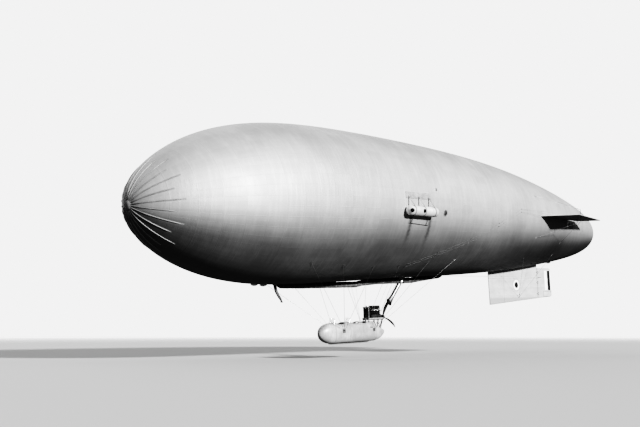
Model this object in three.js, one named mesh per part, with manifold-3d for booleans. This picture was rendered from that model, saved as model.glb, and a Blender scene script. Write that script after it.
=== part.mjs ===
// A small non-rigid patrol airship of about 1917, as a scale model at 1:2: a gas envelope of
// silver-doped fabric, fins at the tail, and a boat-shaped car with one pusher engine slung below.
// Millimetres of the model. +X runs aft from nose to tail, port is -Y, +Z is up, and the origin is
// on the envelope's centre line at the centre of lift. Stations are measured aft of the nose.
import * as THREE from "three";
import { mergeVertices } from "three/addons/utils/BufferGeometryUtils.js";
import Module from "manifold-3d";

const wasm = await Module();
wasm.setup();

// Driving dimensions
const LENGTH = 21850; // envelope, nose to tail
const RADIUS = 2286; // envelope, at its fullest
const SKIN = 10; // envelope shell
const LIFT_STATION = 9600; // centre of lift, aft of the nose
const BOW = 400; // the centre line stands this far above its own ends amidships
const SKEW = 70; // raises it towards the nose and lowers it towards the tail
const GORES = 48; // fabric gores round the envelope
const RINGS = 25; // rings of panels along it
const NOSE_CROWDING = 1.12; // over 1 brings the rings closer together at the blunt nose
const SEAT = 0.3; // running gap between pieces that touch
const PORT = -1;
const STARBOARD = 1;
const SIDES = [
  { side: PORT, name: "port" },
  { side: STARBOARD, name: "starboard" },
];

const radians = THREE.MathUtils.degToRad;
const V = (x, y, z) => new THREE.Vector3(x, y, z);

// Finishes
const finish = (color, roughness, metalness) =>
  new THREE.MeshStandardMaterial({ color, roughness, metalness });
const FINISH = {
  dope: finish(0xb9bcbd, 0.45, 0.35),
  duct: finish(0x8f9190, 0.7, 0.1),
  plane: finish(0xc9cac6, 0.6, 0.05),
  batten: finish(0xa8aaa9, 0.5, 0.2),
  tank: finish(0xe4e4e0, 0.35, 0.3),
  car: finish(0xd6d6d0, 0.45, 0.2),
  wood: finish(0x6f5236, 0.6, 0),
  leather: finish(0x3a2a1e, 0.7, 0),
  iron: finish(0x26272a, 0.5, 0.6),
  brass: finish(0x9a7f45, 0.35, 0.9),
  steel: finish(0x6d7074, 0.4, 0.8),
  glass: finish(0xbfd0d4, 0.1, 0),
  webbing: finish(0x9b9a92, 0.8, 0),
};

// Solids: three.js makes each shape, manifold-3d joins and cuts
function solidOf(geometry) {
  const plain = geometry.clone();
  plain.deleteAttribute("normal");
  plain.deleteAttribute("uv");
  const merged = mergeVertices(plain, 1e-3);
  return new wasm.Manifold(
    new wasm.Mesh({
      numProp: 3,
      vertProperties: new Float32Array(merged.attributes.position.array),
      triVerts: new Uint32Array(merged.index.array),
    }),
  );
}

function geometryOf(solid) {
  const mesh = solid.getMesh();
  const geometry = new THREE.BufferGeometry();
  geometry.setAttribute("position", new THREE.BufferAttribute(new Float32Array(mesh.vertProperties), 3));
  geometry.setIndex(new THREE.BufferAttribute(new Uint32Array(mesh.triVerts), 1));
  return geometry;
}

const join = (...pieces) =>
  geometryOf(pieces.map(solidOf).reduce((sum, piece) => sum.add(piece)));
const cut = (piece, ...tools) =>
  geometryOf(tools.map(solidOf).reduce((rest, tool) => rest.subtract(tool), solidOf(piece)));
const common = (piece, other) => geometryOf(solidOf(piece).intersect(solidOf(other)));

// Simple shapes, placed as they are made
const block = (length, width, height, x, y, z) =>
  new THREE.BoxGeometry(length, width, height).translate(x, y, z);

function rod(from, to, radius, faces = 8, endRadius = radius) {
  const along = to.clone().sub(from);
  const turn = new THREE.Quaternion().setFromUnitVectors(V(0, 1, 0), along.clone().normalize());
  const middle = from.clone().add(to).multiplyScalar(0.5);
  return new THREE.CylinderGeometry(endRadius, radius, along.length(), faces)
    .applyQuaternion(turn)
    .translate(middle.x, middle.y, middle.z);
}

function tube(points, radius, faces = 8, steps = 16) {
  const section = new THREE.Shape().absarc(0, 0, radius, 0, 2 * Math.PI);
  return new THREE.ExtrudeGeometry(section, {
    curveSegments: faces,
    steps,
    extrudePath: new THREE.CatmullRomCurve3(points),
  });
}

// Points round a ring: `place` turns the cosine and sine of each point's angle into the point.
const circle = (count, place) =>
  Array.from({ length: count }, (_, i) => {
    const turn = (i / count) * 2 * Math.PI;
    return place(Math.cos(turn), Math.sin(turn));
  });

// A closed body through rings of points, each ring going round the same way.
function loft(rings) {
  const count = rings[0].length;
  const positions = rings.flat().flatMap((p) => [p.x, p.y, p.z]);
  const index = [];
  for (let r = 0; r + 1 < rings.length; r++)
    for (let i = 0; i < count; i++) {
      const j = (i + 1) % count;
      const a = r * count + i;
      const b = r * count + j;
      index.push(a, b, a + count, b, b + count, a + count);
    }
  const last = (rings.length - 1) * count;
  for (let i = 1; i + 1 < count; i++) {
    index.push(0, i + 1, i);
    index.push(last, last + i, last + i + 1);
  }
  const geometry = new THREE.BufferGeometry();
  geometry.setAttribute("position", new THREE.Float32BufferAttribute(positions, 3));
  geometry.setIndex(index);
  if (solidOf(geometry).volume() < 0)
    for (let i = 0; i < index.length; i += 3) [index[i + 1], index[i + 2]] = [index[i + 2], index[i + 1]];
  geometry.setIndex(index);
  return geometry;
}

// A flat outline of [x, y] points, `thick` through, with its edges rounded off by a bevel.
function panel(outline, thick, edge = 10) {
  const shape = new THREE.Shape(outline.map(([x, y]) => new THREE.Vector2(x, y)));
  const bevel = Math.min(edge, thick / 2 - 1);
  return new THREE.ExtrudeGeometry(shape, {
    depth: thick - 2 * bevel,
    bevelThickness: bevel,
    bevelSize: edge,
    bevelOffset: -edge,
    bevelSegments: 1,
  }).translate(0, 0, bevel - thick / 2);
}

const part = new THREE.Group();
function add(name, geometry, material) {
  const mesh = new THREE.Mesh(geometry, material);
  mesh.name = name;
  part.add(mesh);
  return mesh;
}

// The envelope's form: a radius at each fraction of the length, and a centre line that arches
const FULLNESS = [-0.208, 0.283, -0.478, -0.115, 0.526]; // powers 1 to 5 of the way from amidships
function fullness(u) {
  const x = 2 * u - 1;
  const swell = FULLNESS.reduce((sum, k, i) => sum + k * x ** (i + 1), 0);
  return Math.sqrt(Math.max(u * (1 - u), 0)) * Math.exp(swell);
}
const FULLEST = Math.max(...Array.from({ length: 401 }, (_, i) => fullness(i / 400)));
const radiusAt = (station) => (RADIUS * fullness(station / LENGTH)) / FULLEST;
const fromMiddle = (station) => (2 * station) / LENGTH - 1;
function arch(station) {
  const x = fromMiddle(station);
  return BOW * (1 - x ** 2) + SKEW * (x ** 3 - x);
}
function slopeAt(station) {
  const x = fromMiddle(station);
  return Math.atan((2 / LENGTH) * (SKEW * (3 * x ** 2 - 1) - 2 * BOW * x));
}
const centreAt = (station) => arch(station) - arch(LIFT_STATION);
const xAt = (station) => station - LIFT_STATION;

// A point in the ring at a station, `across` and `up` from its centre: rings lean with the arch.
function inRing(station, across, up) {
  const ring = THREE.MathUtils.clamp(station, 0, LENGTH);
  const lean = slopeAt(ring);
  return V(xAt(station) - up * Math.sin(lean), across, centreAt(ring) + up * Math.cos(lean));
}

// A point on the envelope, `below` degrees under the horizontal on one side, `out` off the skin.
function onSkin(station, side, below, out = 0) {
  const r = radiusAt(station) + out;
  return inRing(station, side * r * Math.cos(radians(below)), -r * Math.sin(radians(below)));
}

// Height of the skin on the centre plane, straight above or below a station of the straight axis.
function skinZ(station, up) {
  let ring = station;
  for (let i = 0; i < 5; i++) ring = station + up * radiusAt(ring) * Math.sin(slopeAt(ring));
  return inRing(ring, 0, up * radiusAt(ring)).z;
}

const ringStations = Array.from({ length: RINGS + 1 }, (_, k) => {
  const way = (k / RINGS) ** NOSE_CROWDING;
  return (LENGTH * (1 - Math.cos(Math.PI * way))) / 2;
});

// The envelope as a solid whose skin lies `offset` off the true one.
function envelopeForm(offset) {
  const profile = ringStations.map((station, k) => {
    const end = k === 0 ? -1 : k === RINGS ? 1 : 0;
    const r = end ? 0 : radiusAt(station) + offset;
    return new THREE.Vector2(r, station + end * offset);
  });
  const geometry = new THREE.LatheGeometry(profile, GORES).rotateZ(-Math.PI / 2);
  const position = geometry.getAttribute("position");
  for (let i = 0; i < position.count; i++) {
    const point = inRing(position.getX(i), position.getY(i), position.getZ(i));
    position.setXYZ(i, point.x, point.y, point.z);
  }
  return geometry;
}
const skinTool = envelopeForm(SEAT); // cuts what lies on the skin so that it fits there

// Gas valve on the crown, and the small valves and the filling neck under the belly
const CROWN_VALVE = { station: 11000, radius: 130 };
const NECK = { station: 4725, radius: 45, flange: 66 };
const BELLY_VALVES = [
  { name: "forward_air_valve", station: 3980, radius: 90 },
  { name: "second_air_valve", station: 4300, radius: 90 },
  { name: "aft_gas_valve", station: 18850, radius: 80 },
];
function throughSkin({ station, radius }, up) {
  const at = V(xAt(station), 0, skinZ(station, up));
  const reach = V(0, 0, 6 * SKIN);
  return rod(at.clone().sub(reach), at.clone().add(reach), radius, 16);
}

add(
  "envelope",
  cut(
    envelopeForm(0),
    envelopeForm(-SKIN),
    throughSkin(CROWN_VALVE, 1),
    throughSkin(NECK, -1),
  ),
  FINISH.dope,
);

// A valve: a round seat with a shallow domed cover, standing on the skin or let into a hole in it.
const VALVE_DOME = [
  // [share of the radius, out from the skin]
  [1.12, 12],
  [1.12, 26],
  [0.8, 40],
  [0.45, 52],
  [0, 56],
];
const VALVE_SEAT = { depth: 30, lip: 12 };
function valve({ station, radius }, up, neck) {
  const profile = [
    [0, -VALVE_SEAT.depth],
    [neck, -VALVE_SEAT.depth],
    [neck, VALVE_SEAT.lip],
    ...VALVE_DOME.map(([share, out]) => [share * radius, out]),
  ].map(([r, y]) => new THREE.Vector2(r, y));
  return new THREE.LatheGeometry(profile, 16)
    .rotateX((up * Math.PI) / 2)
    .translate(xAt(station), 0, skinZ(station, up));
}
add("crown_gas_valve", valve(CROWN_VALVE, 1, CROWN_VALVE.radius - SEAT), FINISH.steel);
for (const row of BELLY_VALVES)
  add(row.name, cut(valve(row, -1, row.radius), skinTool), FINISH.steel);

// Limp filling sleeve hanging from the neck, tied off at its end
const SLEEVE = [
  { aft: 0, drop: -14, radius: NECK.radius - SEAT },
  { aft: 0, drop: 10, radius: NECK.radius - SEAT },
  { aft: 10, drop: 60, radius: 40 },
  { aft: 55, drop: 200, radius: 46 },
  { aft: 155, drop: 350, radius: 40 },
  { aft: 225, drop: 450, radius: 22 },
  { aft: 250, drop: 500, radius: 30 },
];
const neckZ = skinZ(NECK.station, -1);
const sleeve = loft(
  SLEEVE.map(({ aft, drop, radius }) =>
    circle(16, (c, s) => V(xAt(NECK.station) + aft + radius * c, radius * s, neckZ - drop)),
  ),
);
const flange = cut(
  rod(V(xAt(NECK.station), 0, neckZ - 10), V(xAt(NECK.station), 0, neckZ + 10), NECK.flange, 16),
  skinTool,
);
add("filling_sleeve", join(sleeve, flange), FINISH.duct);

// Nose battens: long and short ones in turn, fanned from a cap, lying along the envelope's ridges
const BATTENS = 24;
const BATTEN = { width: 30, height: 18, taper: 0.6, long: 880, short: 690 };
const NOSE_CAP = { reach: 150, face: 60, ahead: 30, start: 20 }; // battens begin under it at `start`

// Points along one ridge of the envelope, from under the nose cap to the station `end`.
function ridge(turn, end) {
  const stations = [NOSE_CAP.start, ...ringStations.filter((s) => s > NOSE_CAP.start && s < end), end];
  const onRing = (s) => inRing(s, radiusAt(s) * Math.cos(turn), radiusAt(s) * Math.sin(turn));
  return stations.map((station) => {
    const k = ringStations.findIndex((s) => s >= station);
    const [fore, aft] = [ringStations[k - 1], ringStations[k]];
    return onRing(fore).lerp(onRing(aft), (station - fore) / (aft - fore));
  });
}

function batten(turn, end) {
  const line = ridge(turn, end);
  const out = V(0, Math.cos(turn), Math.sin(turn));
  const across = V(0, -Math.sin(turn), Math.cos(turn));
  const rings = line.map((point, k) => {
    const before = line[Math.max(k - 1, 0)];
    const after = line[Math.min(k + 1, line.length - 1)];
    const along = after.clone().sub(before).normalize();
    const normal = out.clone().addScaledVector(along, -out.dot(along)).normalize();
    const half = BATTEN.width / 2;
    return [
      [-half, 1],
      [half, 1],
      [half * BATTEN.taper, BATTEN.height],
      [-half * BATTEN.taper, BATTEN.height],
    ].map(([w, h]) => point.clone().addScaledVector(across, w).addScaledVector(normal, h));
  });
  return loft(rings);
}

const noseCap = new THREE.LatheGeometry(
  [
    [0, -NOSE_CAP.ahead],
    [NOSE_CAP.face, -NOSE_CAP.ahead],
    [NOSE_CAP.reach, 10],
    [NOSE_CAP.reach, 60],
    [0, 60],
  ].map(([r, x]) => new THREE.Vector2(r, x)),
  24,
)
  .rotateZ(-Math.PI / 2)
  .translate(xAt(0), 0, centreAt(0));
const battens = Array.from({ length: BATTENS }, (_, i) =>
  batten((i / BATTENS) * 2 * Math.PI, i % 2 ? BATTEN.short : BATTEN.long),
);
add("nose_battens", cut(join(noseCap, ...battens), skinTool), FINISH.batten);

// Air scoop in the propeller's wash, and the fabric ducts that it feeds under the belly
const SCOOP = { radius: 62, wall: 4, station: 9480, z: -2938, lipLean: 29, neck: 230 };
const SCOOP_LIP = [
  // [along the tube from the lip, half width, half height]
  [0, 80, 118],
  [60, 71, 100],
];
const JUNCTION = { station: 10060, radius: 125, drop: 185, up: 60 };
const junctionZ = skinZ(JUNCTION.station, -1) - JUNCTION.drop;

// The tube's form grown by `grow`, with its lip carried `reach` further out.
function scoopForm(grow, reach) {
  const top = V(xAt(JUNCTION.station), 0, junctionZ + SCOOP.radius);
  const mouth = V(xAt(SCOOP.station), 0, SCOOP.z);
  const along = top.clone().sub(mouth).normalize();
  const up = V(-along.z, 0, along.x);
  const lip = V(-Math.sin(radians(SCOOP.lipLean)), 0, Math.cos(radians(SCOOP.lipLean)));
  const ring = (distance, high, wide, tall) =>
    circle(16, (c, s) =>
      mouth
        .clone()
        .addScaledVector(along, distance)
        .addScaledVector(high, (tall + grow) * c)
        .add(V(0, (wide + grow) * s, 0)),
    );
  return loft([
    ...SCOOP_LIP.map(([distance, wide, tall]) => ring(distance || -reach, lip, wide, tall)),
    ring(SCOOP.neck, up, SCOOP.radius, SCOOP.radius),
    ring(top.distanceTo(mouth), up, SCOOP.radius, SCOOP.radius),
  ]);
}
// The drum at the junction grown by `grow`, with its foot carried `lower` further down.
const drumForm = (grow, lower) =>
  rod(
    V(xAt(JUNCTION.station), 0, junctionZ - lower),
    V(xAt(JUNCTION.station), 0, skinZ(JUNCTION.station, -1) + JUNCTION.up + grow),
    JUNCTION.radius + grow,
    20,
  );
add(
  "air_scoop",
  cut(join(scoopForm(0, 0), drumForm(0, 0)), scoopForm(-SCOOP.wall, 20), skinTool),
  FINISH.steel,
);

// Fabric ducts: a round tube against the belly; `depth` is how far its lowest line hangs below it
const DUCTS = [
  {
    name: "forward_duct",
    radius: 90,
    rows: [
      [4840, 84],
      [4900, 105],
      [6500, 155],
      [7950, 210],
      [8300, 175],
      [9000, 160],
      [9800, 175],
      [JUNCTION.station, 180],
    ],
  },
  {
    name: "aft_duct",
    radius: 90,
    rows: [
      [JUNCTION.station, 180],
      [10600, 185],
      [11400, 120],
      [12000, 84],
      [12120, 60],
    ],
  },
];
for (const { name, radius, rows } of DUCTS) {
  const rings = rows.map(([station, depth], k) => {
    const r = k === 0 || k === rows.length - 1 ? 0.8 * radius : radius;
    const z = skinZ(station, -1) - depth + radius;
    return circle(12, (c, s) => V(xAt(station), r * c, z + r * s));
  });
  const duct = cut(loft(rings), skinTool, drumForm(SEAT, JUNCTION.radius), scoopForm(SEAT, 0));
  add(name, duct, FINISH.duct);
}

// Tail planes: a fixed stabiliser each side, with an elevator hinged behind it
const PLANE_THICK = 36;
const PLANE_Z = -74;
const HINGE_STATION = 18000;
const HINGE_GAP = 9; // from the hinge line to either plane
const STABILISER = [
  // [station, out from the centre line]
  [15500, 1700],
  [15625, 1775],
  [16475, 2835],
  [HINGE_STATION - HINGE_GAP, 2417],
  [HINGE_STATION - HINGE_GAP, 1380],
  [15500, 1500],
];
const ELEVATOR = [
  [HINGE_STATION + HINGE_GAP, 2413],
  [19315, 2050],
  [18680, 1425],
  [HINGE_STATION + HINGE_GAP, 1510],
];
const KNUCKLE = { radius: 13, bore: 7.4, pin: 7, width: 24, ear: 10, slack: 3 };
const ELEVATOR_HINGES = [1640, 1960, 2280]; // out from the centre line
const KINGPOST = { station: 16850, out: 2640, height: 205, radius: 9 };
const HORN = { aft: 60, reach: 150, radius: 7 }; // where the control wires take hold
const ELEVATOR_HORN_OUT = 1800;
const MOVING_THICK = PLANE_THICK - 6;

// A hinge's two halves on an axis from `at` along `axis`; `back` points to the fixed plane.
function hingeFixed(at, axis, back) {
  const half = KNUCKLE.width / 2 + KNUCKLE.slack + KNUCKLE.ear;
  const ends = [-half, half].map((reach) => at.clone().addScaledVector(axis, reach));
  const pieces = [rod(...ends, KNUCKLE.pin, 12)];
  for (const end of [-1, 1]) {
    const inner = at.clone().addScaledVector(axis, end * (half - KNUCKLE.ear));
    const outer = at.clone().addScaledVector(axis, end * half);
    pieces.push(rod(inner, outer, KNUCKLE.radius, 8));
    const mid = inner.clone().add(outer).multiplyScalar(0.5);
    const foot = mid.clone().addScaledVector(back, 40);
    const size = axis.clone().multiplyScalar(KNUCKLE.ear);
    const box = new THREE.BoxGeometry(
      Math.abs(size.x) || 40,
      Math.abs(size.y) || (axis.z ? 16 : 40),
      Math.abs(size.z) || 16,
    );
    const centre = mid.clone().add(foot).multiplyScalar(0.5);
    pieces.push(box.translate(centre.x, centre.y, centre.z));
  }
  return join(...pieces);
}
function hingeMoving(at, axis, back) {
  const half = KNUCKLE.width / 2;
  const ends = [-half, half].map((reach) => at.clone().addScaledVector(axis, reach));
  const barrel = rod(...ends, KNUCKLE.radius, 12);
  const centre = at.clone().addScaledVector(back, -24);
  const size = axis.z ? [40, 14, KNUCKLE.width] : [40, KNUCKLE.width, 14];
  return join(barrel, block(...size, centre.x, centre.y, centre.z));
}
const hingeBore = (at, axis) =>
  rod(
    at.clone().addScaledVector(axis, -KNUCKLE.width),
    at.clone().addScaledVector(axis, KNUCKLE.width),
    KNUCKLE.bore,
    12,
  );
// Room in the moving plane's front edge for a hinge's ears.
function earRoom(at, axis) {
  const wide = KNUCKLE.width + 2 * (KNUCKLE.slack + KNUCKLE.ear + 6);
  const size = axis.z ? [64, 60, wide] : [64, wide, 60];
  return block(...size, at.x, at.y, at.z);
}

// Room in the fixed plane's rear edge for a hinge's barrel.
function barrelRoom(at, axis) {
  const wide = KNUCKLE.width + 2 * KNUCKLE.slack;
  const size = axis.z ? [30, 60, wide] : [30, wide, 60];
  return block(...size, at.x - 8, at.y, at.z);
}

for (const { side, name } of SIDES) {
  const outline = (rows) => rows.map(([station, out]) => [xAt(station), side * out]);
  const y = V(0, 1, 0);
  const back = V(-1, 0, 0);
  const at = (out) => V(xAt(HINGE_STATION), side * out, PLANE_Z);
  const fixed = cut(
    panel(outline(STABILISER), PLANE_THICK).translate(0, 0, PLANE_Z),
    ...ELEVATOR_HINGES.map((out) => barrelRoom(at(out), y)),
  );
  const posts = rod(
    V(xAt(KINGPOST.station), side * KINGPOST.out, PLANE_Z - KINGPOST.height),
    V(xAt(KINGPOST.station), side * KINGPOST.out, PLANE_Z + KINGPOST.height),
    KINGPOST.radius,
  );
  add(
    name + "_stabiliser",
    cut(join(fixed, posts, ...ELEVATOR_HINGES.map((out) => hingeFixed(at(out), y, back))), skinTool),
    FINISH.plane,
  );
  const moving = panel(outline(ELEVATOR), MOVING_THICK).translate(0, 0, PLANE_Z);
  const roomy = cut(moving, ...ELEVATOR_HINGES.map((out) => earRoom(at(out), y)));
  const hornAt = V(xAt(HINGE_STATION + HORN.aft), side * ELEVATOR_HORN_OUT, PLANE_Z);
  const reach = V(0, 0, HORN.reach);
  const horn = rod(hornAt.clone().sub(reach), hornAt.clone().add(reach), HORN.radius);
  add(
    name + "_elevator",
    cut(
      join(roomy, horn, ...ELEVATOR_HINGES.map((out) => hingeMoving(at(out), y, back))),
      ...ELEVATOR_HINGES.map((out) => hingeBore(at(out), y)),
    ),
    FINISH.plane,
  );
}

// Lower fin and rudder, upright on the centre line under the tail
const FIN = [
  // [station, height]
  [14835, -1700],
  [14885, -3122],
  [HINGE_STATION - HINGE_GAP, -2925],
  [HINGE_STATION - HINGE_GAP, -1500],
];
const RUDDER = [
  [HINGE_STATION + HINGE_GAP, -1790],
  [18860, -1790],
  [18960, -1840],
  [18960, -2830],
  [18900, -2872],
  [HINGE_STATION + HINGE_GAP, -2923],
];
const RUDDER_HINGES = [-1950, -2340, -2760];
const RUDDER_HORN_Z = -2150;
const upright = (rows, thick) => {
  const flat = panel(rows.map(([station, z]) => [xAt(station), z]), thick);
  return flat.rotateX(Math.PI / 2);
};
{
  const z = V(0, 0, 1);
  const back = V(-1, 0, 0);
  const at = (height) => V(xAt(HINGE_STATION), 0, height);
  add(
    "lower_fin",
    cut(
      join(
        cut(upright(FIN, PLANE_THICK), ...RUDDER_HINGES.map((h) => barrelRoom(at(h), z))),
        ...RUDDER_HINGES.map((h) => hingeFixed(at(h), z, back)),
      ),
      skinTool,
    ),
    FINISH.plane,
  );
  const roomy = cut(upright(RUDDER, MOVING_THICK), ...RUDDER_HINGES.map((h) => earRoom(at(h), z)));
  const hornX = xAt(HINGE_STATION + HORN.aft);
  const horn = rod(V(hornX, -HORN.reach, RUDDER_HORN_Z), V(hornX, HORN.reach, RUDDER_HORN_Z), HORN.radius);
  add(
    "rudder",
    cut(
      join(roomy, horn, ...RUDDER_HINGES.map((h) => hingeMoving(at(h), z, back))),
      ...RUDDER_HINGES.map((h) => hingeBore(at(h), z)),
    ),
    FINISH.plane,
  );
}

// Stays: wires from one lug, each to a patch on the envelope
const WIRE = { radius: 3, sunk: 25, proud: 6 };
function wires(from, feet, patchRadius, lug) {
  const pieces = [lug];
  for (const { station, side, below } of feet) {
    const foot = onSkin(station, side, below, WIRE.proud);
    const inside = onSkin(station, side, below, -WIRE.sunk);
    pieces.push(rod(from, foot, WIRE.radius, 5));
    pieces.push(rod(inside, foot, patchRadius, 8));
  }
  return cut(join(...pieces), skinTool);
}
const STAY_PATCH = 40;
const STAY_LUG = { radius: 11, length: 14 };
const PLANE_STAYS = [
  // degrees that the two feet stand above the plane's level, or below it
  { station: 15500, level: 24 },
  { station: 17600, level: 30 },
];
for (const { side, name } of SIDES)
  for (const { level, up } of [
    { level: "upper", up: 1 },
    { level: "lower", up: -1 },
  ]) {
    const tip = PLANE_Z + up * (KINGPOST.height + SEAT);
    const top = V(xAt(KINGPOST.station), side * KINGPOST.out, tip);
    const lug = rod(top, top.clone().add(V(0, 0, up * STAY_LUG.length)), STAY_LUG.radius, 10);
    const from = top.clone().add(V(0, 0, (up * STAY_LUG.length) / 2));
    const feet = PLANE_STAYS.map((row) => ({ station: row.station, side, below: -up * row.level }));
    add(name + "_" + level + "_stays", wires(from, feet, STAY_PATCH, lug), FINISH.steel);
  }

const FIN_STAY = { station: 16700, z: -2880, lug: 16 };
const FIN_STAY_FEET = [
  { station: 15500, below: 52 },
  { station: 17600, below: 50 },
];
for (const { side, name } of SIDES) {
  const foot = V(xAt(FIN_STAY.station), side * (PLANE_THICK / 2 + SEAT), FIN_STAY.z);
  const lug = rod(foot, foot.clone().add(V(0, side * STAY_LUG.length, 0)), FIN_STAY.lug, 10);
  const from = foot.clone().add(V(0, (side * STAY_LUG.length) / 2, 0));
  const feet = FIN_STAY_FEET.map((row) => ({ ...row, side }));
  add(name + "_fin_stays", wires(from, feet, STAY_PATCH, lug), FINISH.steel);
}

// Petrol tanks slung on the flanks, each in a sling of bands and straps from a long patch
const TANK = { station: 8435, length: 1340, radius: 143, below: 8, off: 10 };
const TANK_END = [
  // [in from the tank's end, share of its radius]
  [0, 0],
  [8, 0.4],
  [30, 0.77],
  [80, 1],
];
const BAND = { wide: 40, thick: 5, clear: 0.4, strap: 6 };
const BANDS = [-470, 0, 470]; // from the tank's middle
const PATCH = { half: 600, low: 9, high: 14, strap: 11, proud: 8, sunk: 30 }; // heights in degrees
for (const { side, name } of SIDES) {
  const span = TANK.length / 4;
  const rise = radiusAt(TANK.station + span) - radiusAt(TANK.station - span);
  const taper = Math.atan(rise / (2 * span));
  const centre = onSkin(TANK.station, side, TANK.below, TANK.radius + TANK.off);
  const turned = (rows) =>
    new THREE.LatheGeometry(
      rows.map(([r, x]) => new THREE.Vector2(r, x)),
      20,
    )
      .rotateZ(-Math.PI / 2)
      .rotateZ(side * taper)
      .translate(centre.x, centre.y, centre.z);
  const half = TANK.length / 2;
  const fore = TANK_END.map(([inward, share]) => [share * TANK.radius, inward - half]);
  const aft = TANK_END.map(([inward, share]) => [share * TANK.radius, half - inward]).reverse();
  add(name + "_petrol_tank", turned([...fore, ...aft]), FINISH.tank);

  const inner = TANK.radius + BAND.clear;
  const band = (offset) =>
    turned([
      [inner, offset - BAND.wide / 2],
      [inner + BAND.thick, offset - BAND.wide / 2],
      [inner + BAND.thick, offset + BAND.wide / 2],
      [inner, offset + BAND.wide / 2],
      [inner, offset - BAND.wide / 2],
    ]);
  const room = turned([
    [0, -half],
    [inner, -half],
    [inner, half],
    [0, half],
  ]);
  // Each strap runs from the patch and meets its band where the band turns away from the hull.
  const straps = BANDS.map((offset) => {
    const high = onSkin(TANK.station + offset, side, TANK.below - PATCH.strap);
    const hub = centre.clone().add(V(offset * Math.cos(taper), offset * side * Math.sin(taper), 0));
    const spoke = high.clone().sub(hub);
    spoke.x = 0;
    const wrap = TANK.radius + BAND.strap / 2;
    const open = Math.atan2(spoke.z, side * spoke.y) - Math.acos(wrap / spoke.length());
    const round = hub.clone().add(V(0, side * wrap * Math.cos(open), wrap * Math.sin(open)));
    high.x = round.x;
    const along = round.clone().sub(high);
    const middle = high.clone().add(round).multiplyScalar(0.5);
    return new THREE.BoxGeometry(BAND.wide, along.length() + BAND.wide / 2, BAND.strap)
      .rotateX(Math.atan2(along.z, along.y))
      .translate(middle.x, middle.y, middle.z);
  });
  const patch = loft(
    [-PATCH.half, PATCH.half].map((offset) =>
      [
        [PATCH.high, -PATCH.sunk],
        [PATCH.high, PATCH.proud],
        [PATCH.low, PATCH.proud],
        [PATCH.low, -PATCH.sunk],
      ].map(([above, out]) => onSkin(TANK.station + offset, side, TANK.below - above, out)),
    ),
  );
  add(name + "_tank_sling", cut(join(patch, ...straps, ...BANDS.map(band)), room, skinTool), FINISH.webbing);
}

// The car: a boat-shaped shell, plated as a bow, a hull, a deck and a tail, with three cockpits
const CAR = { station: 6370, datum: -3800, wall: 10, bow: 520, tail: 2290, length: 2730 };
const PLATING = { tail: 2270, deck: 225, past: 10, high: 400, wide: 600 }; // joins, and room past the shell
const CAR_SECTIONS = [
  // [aft of the car's nose, half width, deck above datum, keel below datum]
  [0, 14, 14, 16],
  [30, 78, 101, 103],
  [100, 136, 178, 182],
  [220, 186, 246, 251],
  [360, 214, 285, 291],
  [CAR.bow, 225, 297, 303],
  [1200, 230, 297, 303],
  [1900, 222, 297, 303],
  [CAR.tail, 196, 290, 290],
  [2390, 182, 170, 276],
  [2600, 132, 90, 212],
  [CAR.length, 92, 30, 120],
];
const CAR_POWER = 2.5; // squareness of a section
const CAR_KEEL = 303; // below the datum at its deepest
const carX = (aft) => xAt(CAR.station + aft);
const carZ = (above) => CAR.datum + above;
const squared = (share) => Math.sign(share) * Math.abs(share) ** (2 / CAR_POWER);

// The car's outer form grown by `grow`, between two of its sections.
function carForm(grow, from = 0, to = CAR.length) {
  const rows = CAR_SECTIONS.filter(([x]) => x >= from && x <= to);
  return loft(
    rows.map(([x, wide, deck, keel], k) => {
      const shift = k === 0 ? -grow : k === rows.length - 1 ? grow : 0;
      return circle(16, (c, s) => {
        const tall = (s > 0 ? deck : keel) + grow;
        return V(carX(x) + shift, (wide + grow) * squared(c), carZ(tall * squared(s)));
      });
    }),
  );
}
const COCKPITS = [
  { name: "front", from: 580, to: 980, half: 145, screened: true },
  { name: "pilot", from: 1210, to: 1590, half: 145, screened: true },
  { name: "engineer", from: 1640, to: 1930, half: 140, screened: false },
];
const COCKPIT = { corner: 110, floor: 60, rim: 100, top: 400 }; // heights of the cutters above the datum

// A cockpit's opening grown by `grow`, from `low` to `high` above the datum.
function cockpitForm({ from, to, half }, grow, low, high) {
  const a = carX(from) - grow;
  const b = carX(to) + grow;
  const w = half + grow;
  const r = COCKPIT.corner;
  const shape = new THREE.Shape();
  shape.moveTo(a + r, -w);
  shape.lineTo(b - r, -w);
  shape.quadraticCurveTo(b, -w, b, -w + r);
  shape.lineTo(b, w - r);
  shape.quadraticCurveTo(b, w, b - r, w);
  shape.lineTo(a + r, w);
  shape.quadraticCurveTo(a, w, a, w - r);
  shape.lineTo(a, -w + r);
  shape.quadraticCurveTo(a, -w, a + r, -w);
  return new THREE.ExtrudeGeometry(shape, {
    depth: high - low,
    bevelEnabled: false,
    curveSegments: 3,
  }).translate(0, 0, carZ(low));
}
const carTool = carForm(SEAT);
const cabinForm = (inset) => carForm(-inset, CAR_SECTIONS[1][0], CAR.tail);
const cabin = cabinForm(CAR.wall);
const insideCabin = cabinForm(CAR.wall + SEAT);
const openings = COCKPITS.map((c) => cockpitForm(c, 0, COCKPIT.floor, COCKPIT.top));
const shell = cut(carForm(0), cabin, ...openings);

// One plate of the shell, between two stations of the car and two heights above its datum.
function plate(from, to, low, high) {
  const long = to - from;
  const middle = (low + high) / 2;
  return common(shell, block(long, PLATING.wide, high - low, carX(from) + long / 2, 0, carZ(middle)));
}
{
  const { tail, deck, past, high } = PLATING;
  add("car_bow", plate(-past, CAR.bow, -high, high), FINISH.car);
  add("car_hull", plate(CAR.bow + SEAT, tail, -high, deck), FINISH.car);
  add("car_deck", plate(CAR.bow + SEAT, tail, deck + SEAT, high), FINISH.car);
  add("car_tail", plate(tail + SEAT, CAR.length + past, -high, high), FINISH.car);
}

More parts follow.
